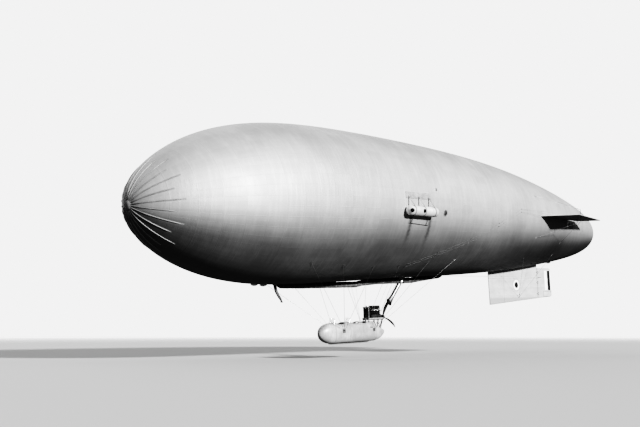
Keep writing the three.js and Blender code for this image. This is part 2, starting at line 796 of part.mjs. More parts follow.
const COAMING = { wide: 20, proud: 16 };
const CUSHION = { pan: -95, panThick: 30, back: 28, backTall: 300, long: 230, wide: 250, clear: 60 };
const SEAT_LEG = { thick: 30, tall: 240, out: 90 };
const SCREEN = { radius: 165, lean: 15, thick: 4, tall: 160, wide: 240, lead: 83, lift: 300, rake: 20 };

function seat({ to }) {
  const { pan, panThick, back, backTall, long, wide, clear } = CUSHION;
  const { thick, tall, out } = SEAT_LEG;
  const x = carX(to - clear);
  const legZ = carZ(pan - panThick / 2 + SEAT - tall / 2);
  const legs = SIDES.map(({ side }) => block(long - thick, thick, tall, x - long / 2, side * out, legZ));
  return join(
    block(long, wide, panThick, x - long / 2, 0, carZ(pan)),
    block(back, wide, backTall, x - back / 2, 0, carZ(pan + backTall / 2 - panThick / 2)),
    ...legs,
  );
}

function windscreen({ from }) {
  const { radius, lean, thick, tall, wide, lead, lift, rake } = SCREEN;
  const glass = cut(
    new THREE.CylinderGeometry(radius - lean, radius, tall, 20),
    new THREE.CylinderGeometry(radius - lean - thick, radius - thick, tall + 2, 20),
  )
    .rotateX(Math.PI / 2)
    .rotateY(radians(rake))
    .translate(carX(from) + lead, 0, carZ(lift));
  const front = block(radius, wide, 2 * tall, carX(from) - radius / 2, 0, carZ(lift));
  return cut(common(glass, front), carTool);
}

for (const c of COCKPITS) {
  const { floor, rim: low, top } = COCKPIT;
  const rim = cut(cockpitForm(c, COAMING.wide, low, top), cockpitForm(c, -2, floor, top + COAMING.proud));
  add(c.name + "_coaming", cut(common(rim, carForm(COAMING.proud)), carTool), FINISH.leather);
  add(c.name + "_seat", common(seat(c), insideCabin), FINISH.leather);
  if (c.screened) add(c.name + "_windscreen", windscreen(c), FINISH.glass);
}

// Instrument board across the hull ahead of the pilot, with the wheel on its column
const BOARD = { aft: 1175, thick: 14, above: 95, tall: 250 };
const WHEEL = { radius: 85, rim: 8, out: 90, above: 90, column: 12, spoke: 5 };
add(
  "instrument_board",
  common(block(BOARD.thick, 500, BOARD.tall, carX(BOARD.aft), 0, carZ(BOARD.above)), insideCabin),
  FINISH.wood,
);
const columnX = carX(BOARD.aft) + BOARD.thick / 2 + SEAT;
const wheelHub = V(columnX + WHEEL.out, 0, carZ(WHEEL.above));
add(
  "pilot_wheel",
  join(
    new THREE.TorusGeometry(WHEEL.radius, WHEEL.rim, 5, 16)
      .rotateY(Math.PI / 2)
      .translate(wheelHub.x, 0, wheelHub.z),
    rod(V(columnX, 0, wheelHub.z), V(wheelHub.x + WHEEL.rim, 0, wheelHub.z), WHEEL.column, 10),
    ...[0, 60, 120].map((turn) => {
      const reach = V(0, Math.cos(radians(turn)), Math.sin(radians(turn))).multiplyScalar(WHEEL.radius);
      return rod(wheelHub.clone().sub(reach), wheelHub.clone().add(reach), WHEEL.spoke, 5);
    }),
  ),
  FINISH.wood,
);
const SKID = { long: 1700, wide: 44, tall: 60, aft: 1250, deep: 35 };
add(
  "keel_skid",
  cut(
    block(SKID.long, SKID.wide, SKID.tall, carX(SKID.aft), 0, carZ(SKID.tall / 2 - CAR_KEEL - SKID.deep)),
    carTool,
  ),
  FINISH.wood,
);

// Engine over the tail of the car, on two bearers with struts to the deck
const CRANK = { z: -3379, hubX: -440 };
const BEARER = { y: 115, wide: 30, tall: 44, top: -3402, from: -1230, to: -520, strut: 10, below: 20 };
const STRUTS = [
  // [top of the strut, its foot, how far out the foot stands]
  [-1200, -1215, 115],
  [-960, -945, 112],
  [-740, -780, 80],
  [-570, -620, 60],
];
const CROSSBARS = { at: [-1200, -960, -740, -545], size: 28, drop: 52 };
const bearers = SIDES.flatMap(({ side }) => {
  const { y, wide, tall, top, from, to, strut, below } = BEARER;
  return [
    block(to - from, wide, tall, (from + to) / 2, side * y, top - tall / 2),
    ...STRUTS.map(([head, foot, out]) =>
      rod(V(head, side * y, top - below), V(foot, side * out, carZ(below)), strut, 8),
    ),
  ];
});
for (const x of CROSSBARS.at)
  bearers.push(block(CROSSBARS.size, 2 * BEARER.y, CROSSBARS.size, x, 0, BEARER.top - CROSSBARS.drop));
add("engine_bearers", cut(join(...bearers), carTool), FINISH.wood);

const ENGINE = { from: -1050, to: -570, cylinders: 6, first: 45, pitch: 78, bore: 34, base: -3310 };
const CRANKCASE = [
  // [half width, height]
  [70, -3436],
  [88, -3400],
  [88, -3340],
  [60, -3300],
];
const HEAD = { foot: -3080, top: -3028, radius: 24, lap: 5 };
const PORTS = { z: -3245, long: 30, wide: 110, tall: 14 };
const CAMSHAFT = { y: 30, z: -3042, radius: 13, past: 30 };
const MANIFOLD = { y: -48, z: -3180, radius: 15, past: 20 };
const MOUNTS = { at: [-1000, -800, -600], long: 50, past: 24, thick: 14 };
const NOSE_HOUSING = { back: 20, ahead: 75, radius: 46, tip: 30 };
const SHAFT = { radius: 14, past: 40 };
const MAGNETO = { long: 70, tall: 80, x: -1080, z: -3340 };
const cylinderX = (i) => ENGINE.from + ENGINE.first + i * ENGINE.pitch;
const lastCylinder = cylinderX(ENGINE.cylinders - 1);
const alongCylinders = ({ y, z, radius, past }) =>
  rod(V(cylinderX(0) - past, y, z), V(lastCylinder + past, y, z), radius, 8);
const crankcase = panel(
  [...CRANKCASE, ...CRANKCASE.map(([y, z]) => [-y, z]).reverse()],
  ENGINE.to - ENGINE.from,
  8,
)
  .rotateX(Math.PI / 2)
  .rotateZ(Math.PI / 2)
  .translate((ENGINE.from + ENGINE.to) / 2, 0, 0);
const cylinders = Array.from({ length: ENGINE.cylinders }, (_, i) => {
  const x = cylinderX(i);
  return [
    rod(V(x, 0, ENGINE.base), V(x, 0, HEAD.foot + HEAD.lap), ENGINE.bore, 10),
    rod(V(x, 0, HEAD.foot), V(x, 0, HEAD.top), HEAD.radius, 8),
    block(PORTS.long, PORTS.wide, PORTS.tall, x, 0, PORTS.z),
  ];
}).flat();
add(
  "engine",
  join(
    crankcase,
    ...cylinders,
    alongCylinders(CAMSHAFT),
    alongCylinders(MANIFOLD),
    ...MOUNTS.at.map((x) =>
      block(
        MOUNTS.long,
        2 * BEARER.y + MOUNTS.past,
        MOUNTS.thick,
        x,
        0,
        BEARER.top + SEAT + MOUNTS.thick / 2,
      ),
    ),
    rod(
      V(ENGINE.to - NOSE_HOUSING.back, 0, CRANK.z),
      V(ENGINE.to + NOSE_HOUSING.ahead, 0, CRANK.z),
      NOSE_HOUSING.radius,
      16,
      NOSE_HOUSING.tip,
    ),
    rod(V(ENGINE.to, 0, CRANK.z), V(CRANK.hubX + SHAFT.past, 0, CRANK.z), SHAFT.radius, 16),
    block(MAGNETO.long, MAGNETO.long, MAGNETO.tall, MAGNETO.x, 0, MAGNETO.z),
  ),
  FINISH.iron,
);

const RADIATOR = { x: -1175, thick: 56, wide: 210, tall: 322, tank: 30, lip: 8, filler: 26, neck: 50 };
const radiatorFoot = BEARER.top + SEAT;
const radiatorTop = radiatorFoot + RADIATOR.tall;
add(
  "radiator",
  join(
    block(RADIATOR.thick, RADIATOR.wide, RADIATOR.tall, RADIATOR.x, 0, radiatorFoot + RADIATOR.tall / 2),
    block(
      RADIATOR.thick + 2 * RADIATOR.lip,
      RADIATOR.wide + 2 * RADIATOR.lip,
      RADIATOR.tank,
      RADIATOR.x,
      0,
      radiatorTop,
    ),
    rod(V(RADIATOR.x, 0, radiatorTop), V(RADIATOR.x, 0, radiatorTop + RADIATOR.neck), RADIATOR.filler, 12),
  ),
  FINISH.brass,
);

// Exhaust: a pipe along the starboard side of the cylinders, turned down past the car
const EXHAUST = { y: 64, z: -3120, radius: 17, past: 20, stub: 10, start: 28 };
const EXHAUST_BEND = [
  // [ahead of the first cylinder, out from the pipe, height]
  [10, 0, -3120],
  [50, 60, -3150],
  [40, 120, -3260],
  [20, 125, -3530],
];
const stubs = Array.from({ length: ENGINE.cylinders }, (_, i) =>
  rod(V(cylinderX(i), EXHAUST.start, EXHAUST.z), V(cylinderX(i), EXHAUST.y, EXHAUST.z), EXHAUST.stub, 6),
);
const jackets = Array.from({ length: ENGINE.cylinders }, (_, i) =>
  rod(V(cylinderX(i), 0, ENGINE.base), V(cylinderX(i), 0, HEAD.foot), ENGINE.bore + SEAT, 10),
);
const bend = EXHAUST_BEND.map(([ahead, out, z]) => V(cylinderX(0) - ahead, EXHAUST.y + out, z));
add(
  "exhaust_pipe",
  cut(join(alongCylinders(EXHAUST), tube(bend, EXHAUST.radius, 8, 8), ...stubs), ...jackets),
  FINISH.iron,
);

// Propeller: four curved blades on a boss, a pusher behind the engine
const PROP = { blades: 4, lead: 27.4, boss: 62, half: 34, bore: 14.4 };
const BLADE = [
  // [out from the hub, chord, thickness, twist in degrees, sweep behind the radius]
  [30, 46, 34, -62, 0],
  [110, 58, 26, -48, 12],
  [230, 82, 18, -34, 20],
  [360, 94, 13, -25, 14],
  [480, 84, 9, -19, -8],
  [565, 52, 6, -16, -40],
  [590, 20, 4, -15, -54],
];
const BLADE_SECTION = [
  // [share of the chord, share of the thickness]
  [-0.5, 0],
  [-0.2, 0.5],
  [0.25, 0.45],
  [0.5, 0],
  [0.2, -0.5],
  [-0.25, -0.45],
];
function blade(turn) {
  const rings = BLADE.map(([out, chord, thick, twist, sweep]) => {
    const c = Math.cos(radians(twist));
    const s = Math.sin(radians(twist));
    return BLADE_SECTION.map(([across, through]) =>
      V(across * chord * s + through * thick * c, sweep + across * chord * c - through * thick * s, out),
    );
  });
  return loft(rings).rotateX(turn);
}
const blades = Array.from({ length: PROP.blades }, (_, i) =>
  blade(radians(PROP.lead + (i * 360) / PROP.blades)),
);
const bossEnd = V(PROP.half, 0, 0);
const boreEnd = V(2 * PROP.half, 0, 0);
add(
  "propeller",
  cut(
    join(rod(bossEnd.clone().negate(), bossEnd, PROP.boss, 20), ...blades),
    rod(boreEnd.clone().negate(), boreEnd, PROP.bore, 16),
  ).translate(CRANK.hubX, 0, CRANK.z),
  FINISH.wood,
);

// Suspension: fans of cables from plates on the car to patches on the envelope
const FANS = [
  // `aft` and `half` place the plate on the car, and the feet are patches on the envelope
  {
    name: "forward",
    aft: 830,
    half: 227,
    feet: [
      { station: 4700, below: 50 },
      { station: 6050, below: 54 },
      { station: 7430, below: 57 },
    ],
  },
  {
    name: "aft",
    aft: 2150,
    half: 206,
    feet: [
      { station: 8600, below: 57 },
      { station: 9900, below: 54 },
      { station: 11200, below: 50 },
    ],
  },
];
const FAN_PLATE = { long: 120, deep: 30, tall: 90, above: 40 };
const FAN_PATCH = 70;
for (const { side, name } of SIDES)
  for (const fan of FANS) {
    const x = carX(fan.aft);
    const { long, deep, tall, above } = FAN_PLATE;
    const lug = cut(block(long, 2 * deep, tall, x, side * fan.half, carZ(above)), carTool);
    const from = V(x, side * (fan.half + (2 * deep) / 3), carZ(above + tall / 3));
    const feet = fan.feet.map((foot) => ({ ...foot, side }));
    add(name + "_" + fan.name + "_suspension", wires(from, feet, FAN_PATCH, lug), FINISH.steel);
  }

export default part;
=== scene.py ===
# %% [markdown]
# # Dressing a small patrol airship
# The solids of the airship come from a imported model, in metres: +X runs aft, port is -Y and +Z is up.
# This lesson lays finished surfaces over that frame, one piece at a time. Each cell of notes says what
# the piece is on the real craft, how it could be made in Blender, and why one way was chosen.

# %% Load the frame
from math import acos, asin, atan, atan2, copysign, cos, degrees, exp, hypot, pi, radians, sin, sqrt

import bmesh
import bpy
from mathutils import Matrix, Vector


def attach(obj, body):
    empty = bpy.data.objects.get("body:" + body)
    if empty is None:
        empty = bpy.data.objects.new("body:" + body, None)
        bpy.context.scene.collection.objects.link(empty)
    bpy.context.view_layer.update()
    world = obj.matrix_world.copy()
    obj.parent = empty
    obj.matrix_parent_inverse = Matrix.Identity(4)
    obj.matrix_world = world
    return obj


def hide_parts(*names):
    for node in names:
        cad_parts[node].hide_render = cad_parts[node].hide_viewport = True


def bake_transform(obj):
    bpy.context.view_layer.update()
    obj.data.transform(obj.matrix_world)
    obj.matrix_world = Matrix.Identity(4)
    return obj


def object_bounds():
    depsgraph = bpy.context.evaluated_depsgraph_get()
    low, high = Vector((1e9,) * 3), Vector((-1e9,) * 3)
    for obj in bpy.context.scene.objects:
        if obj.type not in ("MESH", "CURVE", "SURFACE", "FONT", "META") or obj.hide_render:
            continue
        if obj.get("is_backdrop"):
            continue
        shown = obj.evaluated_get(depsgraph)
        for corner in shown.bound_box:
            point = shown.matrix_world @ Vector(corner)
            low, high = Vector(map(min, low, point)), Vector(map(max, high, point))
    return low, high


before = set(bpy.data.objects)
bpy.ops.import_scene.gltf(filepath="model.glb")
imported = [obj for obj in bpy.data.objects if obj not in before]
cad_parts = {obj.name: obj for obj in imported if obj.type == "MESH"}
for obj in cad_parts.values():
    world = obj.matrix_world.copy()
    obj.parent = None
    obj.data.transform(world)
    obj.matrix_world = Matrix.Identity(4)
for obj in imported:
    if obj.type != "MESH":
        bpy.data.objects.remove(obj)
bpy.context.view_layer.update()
AFT, ACROSS, UP = Vector((1, 0, 0)), Vector((0, 1, 0)), Vector((0, 0, 1))

# %% [markdown]
# ## Camera
# The photograph was taken from the port bow, 28 m from the half-size ship, with the eye a little over
# the ground. A camera can be aimed by a Track To constraint, but the photograph also gives its roll, so
# the three directions of the camera are written down as measured and become its rotation matrix.

# %% Camera
PHOTO_WIDTH = 640  # pixels
FOCAL_PIXELS = 900
SENSOR = 36.0  # millimetres
CAMERA_PLACE = Vector((-21.4773, -18.9043, -2.9929))
CAMERA_RIGHT = Vector((0.717587, -0.695913, -0.027818))
CAMERA_UP = Vector((-0.051233, -0.092577, 0.994387))

camera_data = bpy.data.cameras.new("camera")
camera_data.sensor_width = SENSOR
camera_data.lens = FOCAL_PIXELS * SENSOR / PHOTO_WIDTH
camera_data.clip_end = 400
camera = bpy.data.objects.new("camera", camera_data)
camera_back = CAMERA_RIGHT.cross(CAMERA_UP).normalized()
turn_of_camera = Matrix((CAMERA_RIGHT, CAMERA_UP, camera_back)).transposed()
camera.matrix_world = Matrix.Translation(CAMERA_PLACE) @ turn_of_camera.to_4x4()
bpy.context.scene.collection.objects.link(camera)
bpy.context.scene.camera = camera
print("lens:", round(camera_data.lens, 2), "mm")

# %% [markdown]
# ## Mesh helpers
# Most pieces here are tubes, turned shapes and lofts. Blender can make them from curves with a bevel
# profile, but a mesh made ring by ring keeps full command of where every point lies, so one small class
# collects corners and faces and then makes a single piece of them. It is the only mesh tool needed.

# %% Directions and circles
def square_to(way):
    """Two directions square to `way` and to each other."""
    way = Vector(way).normalized()
    helper = UP if abs(way.z) < 0.9 else ACROSS
    side = helper.cross(way).normalized()
    return side, way.cross(side).normalized()


def frames_along(points):
    """For each point of a line: two directions square to the line, carried along without twist."""
    ends = [points[0], *points, points[-1]]
    ways = [(after - before).normalized() for before, after in zip(ends, ends[2:])]
    side, _ = square_to(ways[0])
    rows = []
    for way in ways:
        side = (side - way * side.dot(way)).normalized()
        rows.append((side, way.cross(side)))
    return rows


def around(centre, radius, side, up, count, start=0.0, closed=False):
    """Points in even steps round a circle that holds the directions side and up."""
    angles = [start + 2 * pi * i / count for i in range(count + closed)]
    return [centre + radius * (side * cos(t) + up * sin(t)) for t in angles]


def even(start, end, count):
    return [start + (end - start) * k / count for k in range(count + 1)]


# %% Meshes and pieces
def reworked(mesh, work):
    """Puts a mesh through a bmesh tool."""
    worked = bmesh.new()
    worked.from_mesh(mesh)
    work(worked)
    worked.to_mesh(mesh)
    worked.free()


def outwards(worked):
    bmesh.ops.recalc_face_normals(worked, faces=worked.faces)


def set_up(name, mesh, body, materials, replaces=(), angle=35):
    """A piece in the scene. It rides on a body, if one is named, and may stand for CAD nodes."""
    for material in materials:
        mesh.materials.append(material)
    mesh.shade_smooth()
    if angle:
        mesh.set_sharp_from_angle(angle=radians(angle))
    piece = bpy.data.objects.new(name, mesh)
    bpy.context.scene.collection.objects.link(piece)
    if body:
        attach(piece, body)
    if replaces:
        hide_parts(*replaces)
    print(name + ":", len(mesh.polygons), "faces")
    return piece


# %% A class that collects corners and faces
class Shape:
    """Corners and faces, gathered until make() turns them into one piece."""

    def __init__(self):
        self.corners = []
        self.faces = []
        self.finish_of = []
        self.finish = 0

    def add(self, corners, faces):
        base = len(self.corners)
        self.corners += [tuple(c) for c in corners]
        self.faces += [tuple(base + i for i in face) for face in faces]
        self.finish_of += [self.finish] * len(faces)

    def rings(self, rows, caps=True, closed=True):
        """A skin through rows of points, each row going round the same way."""
        count = len(rows[0])
        faces = []
        for a in range(0, (len(rows) - 1) * count, count):
            for i in range(count if closed else count - 1):
                j = (i + 1) % count
                faces.append((a + i, a + j, a + count + j, a + count + i))
        if caps and closed:
            faces.append(tuple(reversed(range(count))))
            faces.append(tuple(range((len(rows) - 1) * count, len(rows) * count)))
        self.add([p for row in rows for p in row], faces)

    def tube(self, points, radius, sides=10):
        """A round tube along points; radius is a number, or one for each point."""
        points = [Vector(p) for p in points]
        radii = radius if hasattr(radius, "__len__") else [radius] * len(points)
        self.rings([around(p, r, *ways, sides) for p, r, ways in zip(points, radii, frames_along(points))])

    def turned(self, profile, at, way, sides=24):
        """A turned shape: profile is rows of (radius, distance along `way` from `at`)."""
        ways = square_to(way)
        at, way = Vector(at), Vector(way).normalized()
        self.rings([around(at + way * along, max(radius, 1e-5), *ways, sides) for radius, along in profile])

    def disc(self, radius, low, high, at, way, sides=20):
        self.turned([(0, low), (radius, low), (radius, high), (0, high)], at, way, sides)

    def rivet(self, wide, narrow, shoulder, tall, at, way):
        self.turned([(0, 0), (wide, 0), (narrow, shoulder), (0, tall)], at, way, 8)

    def box(self, size, at, turn=None):
        """A block, `size` long each way, centred on `at` and turned by a rotation matrix."""
        turn = turn or Matrix.Identity(3)
        signs = [(x, y, z) for x in (-1, 1) for y in (-1, 1) for z in (-1, 1)]
        corners = [Vector(at) + turn @ Vector([s * h / 2 for s, h in zip(sign, size)]) for sign in signs]
        sides = (0, 1, 3, 2), (4, 6, 7, 5), (0, 4, 5, 1), (2, 3, 7, 6), (0, 2, 6, 4), (1, 5, 7, 3)
        self.add(corners, sides)

    def bolt(self, at, way, size):
        """A hexagon head with its washer, standing on `at`."""
        self.disc(1.5 * size, 0, 0.3 * size, at, way, 10)
        self.turned([(0, 0), (size, 0), (size, size), (0.8 * size, 1.2 * size), (0, 1.2 * size)], at, way, 6)

    def to_mesh(self, name):
        mesh = bpy.data.meshes.new(name)
        mesh.from_pydata(self.corners, [], self.faces)
        mesh.polygons.foreach_set("material_index", self.finish_of)
        return mesh

    def make(self, name, body, slot, materials, replaces=(), bevel=0, angle=35):
        """One piece from what was gathered, with its edges rounded by a bevel."""
        mesh = self.to_mesh(name)
        reworked(mesh, outwards)
        piece = set_up(name, mesh, body, materials, replaces, angle)
        if bevel:
            rounding = piece.modifiers.new("rounding", "BEVEL")
            rounding.width = bevel
            rounding.segments = 2
            rounding.limit_method = "ANGLE"
            rounding.angle_limit = radians(angle)
        return piece


def smooth_path(points, steps=8):
    """Points along a Catmull-Rom curve through the given ones."""
    points = [Vector(p) for p in points]
    ends = [2 * points[0] - points[1], *points, 2 * points[-1] - points[-2]]
    line = []
    for a, b, c, d in zip(ends, ends[1:], ends[2:], ends[3:]):
        for k in range(steps):
            t = k / steps
            line.append(
                0.5 * (2 * b + (c - a) * t + (2 * a - 5 * b + 4 * c - d) * t**2)
                + 0.5 * (3 * b - a - 3 * c + d) * t**3
            )
    return [*line, points[-1]]


def between(rows, at):
    """Reads a table of (place, value, ...) at a place, with straight lines between its rows."""
    if at <= rows[0][0]:
        return rows[0][1:]
    for low, high in zip(rows, rows[1:]):
        if at <= high[0]:
            share = (at - low[0]) / (high[0] - low[0])
            return tuple(a + share * (b - a) for a, b in zip(low[1:], high[1:]))
    return rows[-1][1:]


print("helpers ready")

# %% [markdown]
# ## Finishes
# The photograph is black and white, so the finishes are greys that differ in tone, gloss and texture.
# Image textures would be one way to give them detail. Node textures are used instead: they have no
# pixels, so the cloth stays sharp close up and the same wear runs on from one piece to the next.
# What several finishes share, such as the weave of cloth, is a node group with its own sockets.

# %% Node helpers
def put(where, kind, settings=None, inputs=None):
    """Adds a node to the tree of a socket. An input is a value, or the output of another node."""
    tree = where.id_data
    made = tree.nodes.new(kind)
    for key, value in (settings or {}).items():
        setattr(made, key, value)
    for key, value in (inputs or {}).items():
        if isinstance(value, bpy.types.NodeSocket):
            tree.links.new(value, made.inputs[key])
        else:
            made.inputs[key].default_value = value
    return made


def join(output, socket):
    output.id_data.links.new(output, socket)


def sum_of(operation, *values):
    """One Math node and its output."""
    where = next(v for v in values if isinstance(v, bpy.types.NodeSocket))
    return put(where, "ShaderNodeMath", {"operation": operation}, dict(enumerate(values))).outputs[0]


def times(first, second):
    return sum_of("MULTIPLY", first, second)


def plus(first, *others):
    """A running sum. An output may come in a pair with the number that it is multiplied by."""
    for other in others:
        first = sum_of("ADD", first, times(*other) if isinstance(other, tuple) else other)
    return first


def faded(value, start, end, low=0.0, high=1.0):
    """A value that goes from low to high as another goes from start to end, eased at both ends."""
    inputs = {"Value": value, "From Min": start, "From Max": end, "To Min": low, "To Max": high}
    return put(value, "ShaderNodeMapRange", {"interpolation_type": "SMOOTHSTEP"}, inputs).outputs[0]


def grey(value):
    return (value, value, value, 1)


def mixed(share, first, second):
    """A colour between two colours; a plain number is a grey."""
    first, second = (grey(c) if isinstance(c, float) else c for c in (first, second))
    return put(share, "ShaderNodeMix", {"data_type": "RGBA"}, {0: share, 6: first, 7: second}).outputs[2]


def grey_of(tone):
    """The grey whose tone is a node's output."""
    return put(tone, "ShaderNodeCombineColor", None, {0: tone, 1: tone, 2: tone}).outputs[0]


def noise_of(vector, scale, detail=4, rough=0.55):
    inputs = {"Vector": vector, "Scale": scale, "Detail": detail, "Roughness": rough}
    return put(vector, "ShaderNodeTexNoise", None, inputs).outputs["Fac"]


def stretched(vector, scale):
    """The vector with each axis scaled by its own number."""
    return put(vector, "ShaderNodeMapping", None, {"Vector": vector, "Scale": scale}).outputs[0]


def split(vector):
    return put(vector, "ShaderNodeSeparateXYZ", None, {0: vector}).outputs


# %% [markdown]
# ### Shared effects
# Four groups do most of the work. Woven cloth adds up three fine waves, one along each axis. Weathering
# gives soft blotches and, stretched along one way, the streaks that rain leaves. Seams draws a line
# wherever a distance passes a multiple of its pitch. Edge wear finds worn corners from Pointiness, which
# needs a fine mesh but no painting by hand.

# %% Groups: weave, weathering, seams and edge wear
FLOAT, VECTOR = "NodeSocketFloat", "NodeSocketVector"


def new_group(name, inputs, outputs):
    """A shader node group with named sockets: rows of (name, socket type, default), and names."""
    tree = bpy.data.node_groups.new(name, "ShaderNodeTree")
    for socket_name, kind, value in inputs:
        socket = tree.interface.new_socket(socket_name, in_out="INPUT", socket_type=kind)
        if value is not None:
            socket.default_value = value
    for socket_name in outputs:
        tree.interface.new_socket(socket_name, in_out="OUTPUT", socket_type=FLOAT)
    return tree, tree.nodes.new("NodeGroupInput").outputs, tree.nodes.new("NodeGroupOutput").inputs


def use_group(group, inputs):
    where = next(v for v in inputs if isinstance(v, bpy.types.NodeSocket))
    return put(where, "ShaderNodeGroup", {"node_tree": group}, dict(enumerate(inputs))).outputs


weave_group, given, out = new_group(
    "Woven cloth", [("Vector", VECTOR, None), ("Threads per metre", FLOAT, 400.0)], ["Height", "Slub"]
)
waves = []
for axis in "XYZ":
    inputs = {"Vector": given[0], "Scale": given[1], "Distortion": 1.5, "Detail": 1.0}
    waves.append(put(given[0], "ShaderNodeTexWave", {"bands_direction": axis}, inputs).outputs["Fac"])
join(plus(*waves), out["Height"])
join(noise_of(stretched(given[0], (9, 90, 30)), 4.0), out["Slub"])

weather_group, given, out = new_group(
    "Weathering",
    [("Vector", VECTOR, None), ("Blotch size", FLOAT, 1.0), ("Streak stretch", VECTOR, (1, 1, 0.1))],
    ["Blotches", "Streaks", "Speckle"],
)
per_metre = sum_of("DIVIDE", 1.0, given[1])
scaling = {0: given[0], 1: given[2]}
streak_scale = put(given[0], "ShaderNodeVectorMath", {"operation": "MULTIPLY"}, scaling).outputs[0]
join(faded(noise_of(given[0], per_metre, 6, 0.6), 0.35, 0.68), out["Blotches"])
join(faded(noise_of(streak_scale, times(per_metre, 4.0), 5, 0.65), 0.4, 0.7), out["Streaks"])
join(noise_of(given[0], times(per_metre, 40.0), 3, 0.7), out["Speckle"])

seam_group, given, out = new_group(
    "Seams",
    [("Place", FLOAT, 0.0), ("Pitch", FLOAT, 1.0), ("Width", FLOAT, 0.01)],
    ["Line", "Tape", "Number", "Across"],
)
in_pitches = sum_of("DIVIDE", given[0], given[1])
off = sum_of("ABSOLUTE", sum_of("SUBTRACT", in_pitches, sum_of("ROUND", in_pitches)))
in_widths = sum_of("DIVIDE", times(off, given[1]), times(given[2], 0.5))
join(faded(in_widths, 0.2, 0.6, 1.0, 0.0), out["Line"])
join(faded(in_widths, 0.8, 1.0, 1.0, 0.0), out["Tape"])
join(sum_of("FLOOR", in_pitches), out["Number"])
join(times(off, 2.0), out["Across"])

wear_group, given, out = new_group("Edge wear", [("Vector", VECTOR, None), ("Amount", FLOAT, 0.5)], ["Worn"])
pointed = put(given[0], "ShaderNodeNewGeometry").outputs["Pointiness"]
edge = plus(pointed, (noise_of(given[0], 60.0, 5, 0.7), 0.12))
join(times(faded(edge, 0.57, 0.64), given[1]), out["Worn"])
print("groups:", [g.name for g in bpy.data.node_groups])


# %% The groups in use
def woven(place, threads):
    return use_group(weave_group, (place, threads))


def weathered(place, size, stretch=(1, 1, 0.1)):
    return use_group(weather_group, (place, size, stretch))


def seams(along, pitch, width):
    return use_group(seam_group, (along, pitch, width))


def worn_edges(place, amount):
    return use_group(wear_group, (place, amount))["Worn"]


# %% [markdown]
# ### One function for a finish
# Each finish is a Principled BSDF with its plain numbers on the shader itself and its changing ones from
# nodes. One function makes the empty finish, and another joins its nodes. Most metals, paints and cloths
# here are built alike, so a third makes a whole finish from two tones and a few numbers.

# %% A finish with its shader and object coordinates
def new_finish(name, roughness=0.5, metallic=0.0, specular=0.5):
    material = bpy.data.materials.new(name)
    material.use_nodes = True
    shader = material.node_tree.nodes["Principled BSDF"]
    shader.inputs["Roughness"].default_value = roughness
    shader.inputs["Metallic"].default_value = metallic
    shader.inputs["Specular IOR Level"].default_value = specular
    return material, shader, put(shader, "ShaderNodeTexCoord").outputs["Object"]


def give(shader, colour=None, roughness=None, height=None, depth=0.001, strength=1.0):
    """Joins nodes to the shader: its colour, its roughness, and a height that becomes a bump."""
    if colour:
        join(colour, shader.inputs["Base Color"])
    if roughness:
        join(roughness, shader.inputs["Roughness"])
    if height:
        inputs = {"Height": height, "Distance": depth, "Strength": strength}
        join(put(shader, "ShaderNodeBump", None, inputs).outputs[0], shader.inputs["Normal"])


def plain_finish(
    name, base, size, tones, bump, threads=0, stretch=(1, 1, 0.1), streak=None, worn=None, gloss=None
):
    """A weathered finish between two tones.

    base: roughness, metallic, specular; bump: depth and strength, of a weave or else of the speckle;
    streak and worn: how much, and the tone; gloss: the effect that it follows, and the numbers for faded.
    """
    material, shader, place = new_finish(name, *base)
    weather = weathered(place, size, stretch)
    colour = mixed(weather["Blotches"], *tones)
    if streak:
        colour = mixed(times(weather["Streaks"], streak[0]), colour, streak[1])
    if worn:
        colour = mixed(worn_edges(place, worn[0]), colour, worn[1])
    roughness = faded(weather[gloss[0]], *gloss[1:]) if gloss else None
    height = woven(place, threads)["Height"] if threads else weather["Speckle"]
    give(shader, colour, roughness, height, *bump)
    return material


# %% [markdown]
# ## Studio
# The floor is the true ground under the hovering ship, a little out of level with the frame because the
# ship rides nose up. A plain plane would show a hard far edge, so its rim fades into the backdrop. The
# ship's belly is nearly black in the photograph: the floor therefore sends no light back up.

# %% Floor and backdrop
GROUND_UP = Vector((0.0387, 0, 0.99925))
GROUND_LEVEL = -4.647  # along GROUND_UP from the origin
FLOOR_RADIUS = 160.0
FLOOR_FADE = (0.2, 0.62)  # of the radius

floor_material, shader, place = new_finish("pale_floor", 0.9, 0.0, 0.1)
shader.inputs["Base Color"].default_value = grey(0.55)
out = put(place, "ShaderNodeVectorMath", {"operation": "LENGTH"}, {0: place}).outputs["Value"]
rim = faded(out, FLOOR_FADE[0] * FLOOR_RADIUS, FLOOR_FADE[1] * FLOOR_RADIUS)
clear = put(place, "ShaderNodeBsdfTransparent").outputs[0]
fading = put(place, "ShaderNodeMixShader", None, {0: rim, 1: shader.outputs[0], 2: clear})
join(fading.outputs[0], floor_material.node_tree.nodes["Material Output"].inputs["Surface"])

floor_mesh = bpy.data.meshes.new("floor")
reworked(
    floor_mesh,
    lambda worked: bmesh.ops.create_circle(worked, cap_ends=True, segments=64, radius=FLOOR_RADIUS),
)
floor_mesh.materials.append(floor_material)
floor = bpy.data.objects.new("floor", floor_mesh)
tilt = GROUND_UP.to_track_quat("Z", "Y").to_matrix().to_4x4()
floor.matrix_world = Matrix.Translation(GROUND_UP * GROUND_LEVEL) @ tilt
floor.visible_diffuse = False
floor.visible_glossy = False
bpy.context.scene.collection.objects.link(floor)
floor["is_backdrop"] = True
print("floor under the car:", round(GROUND_LEVEL, 2), "m")
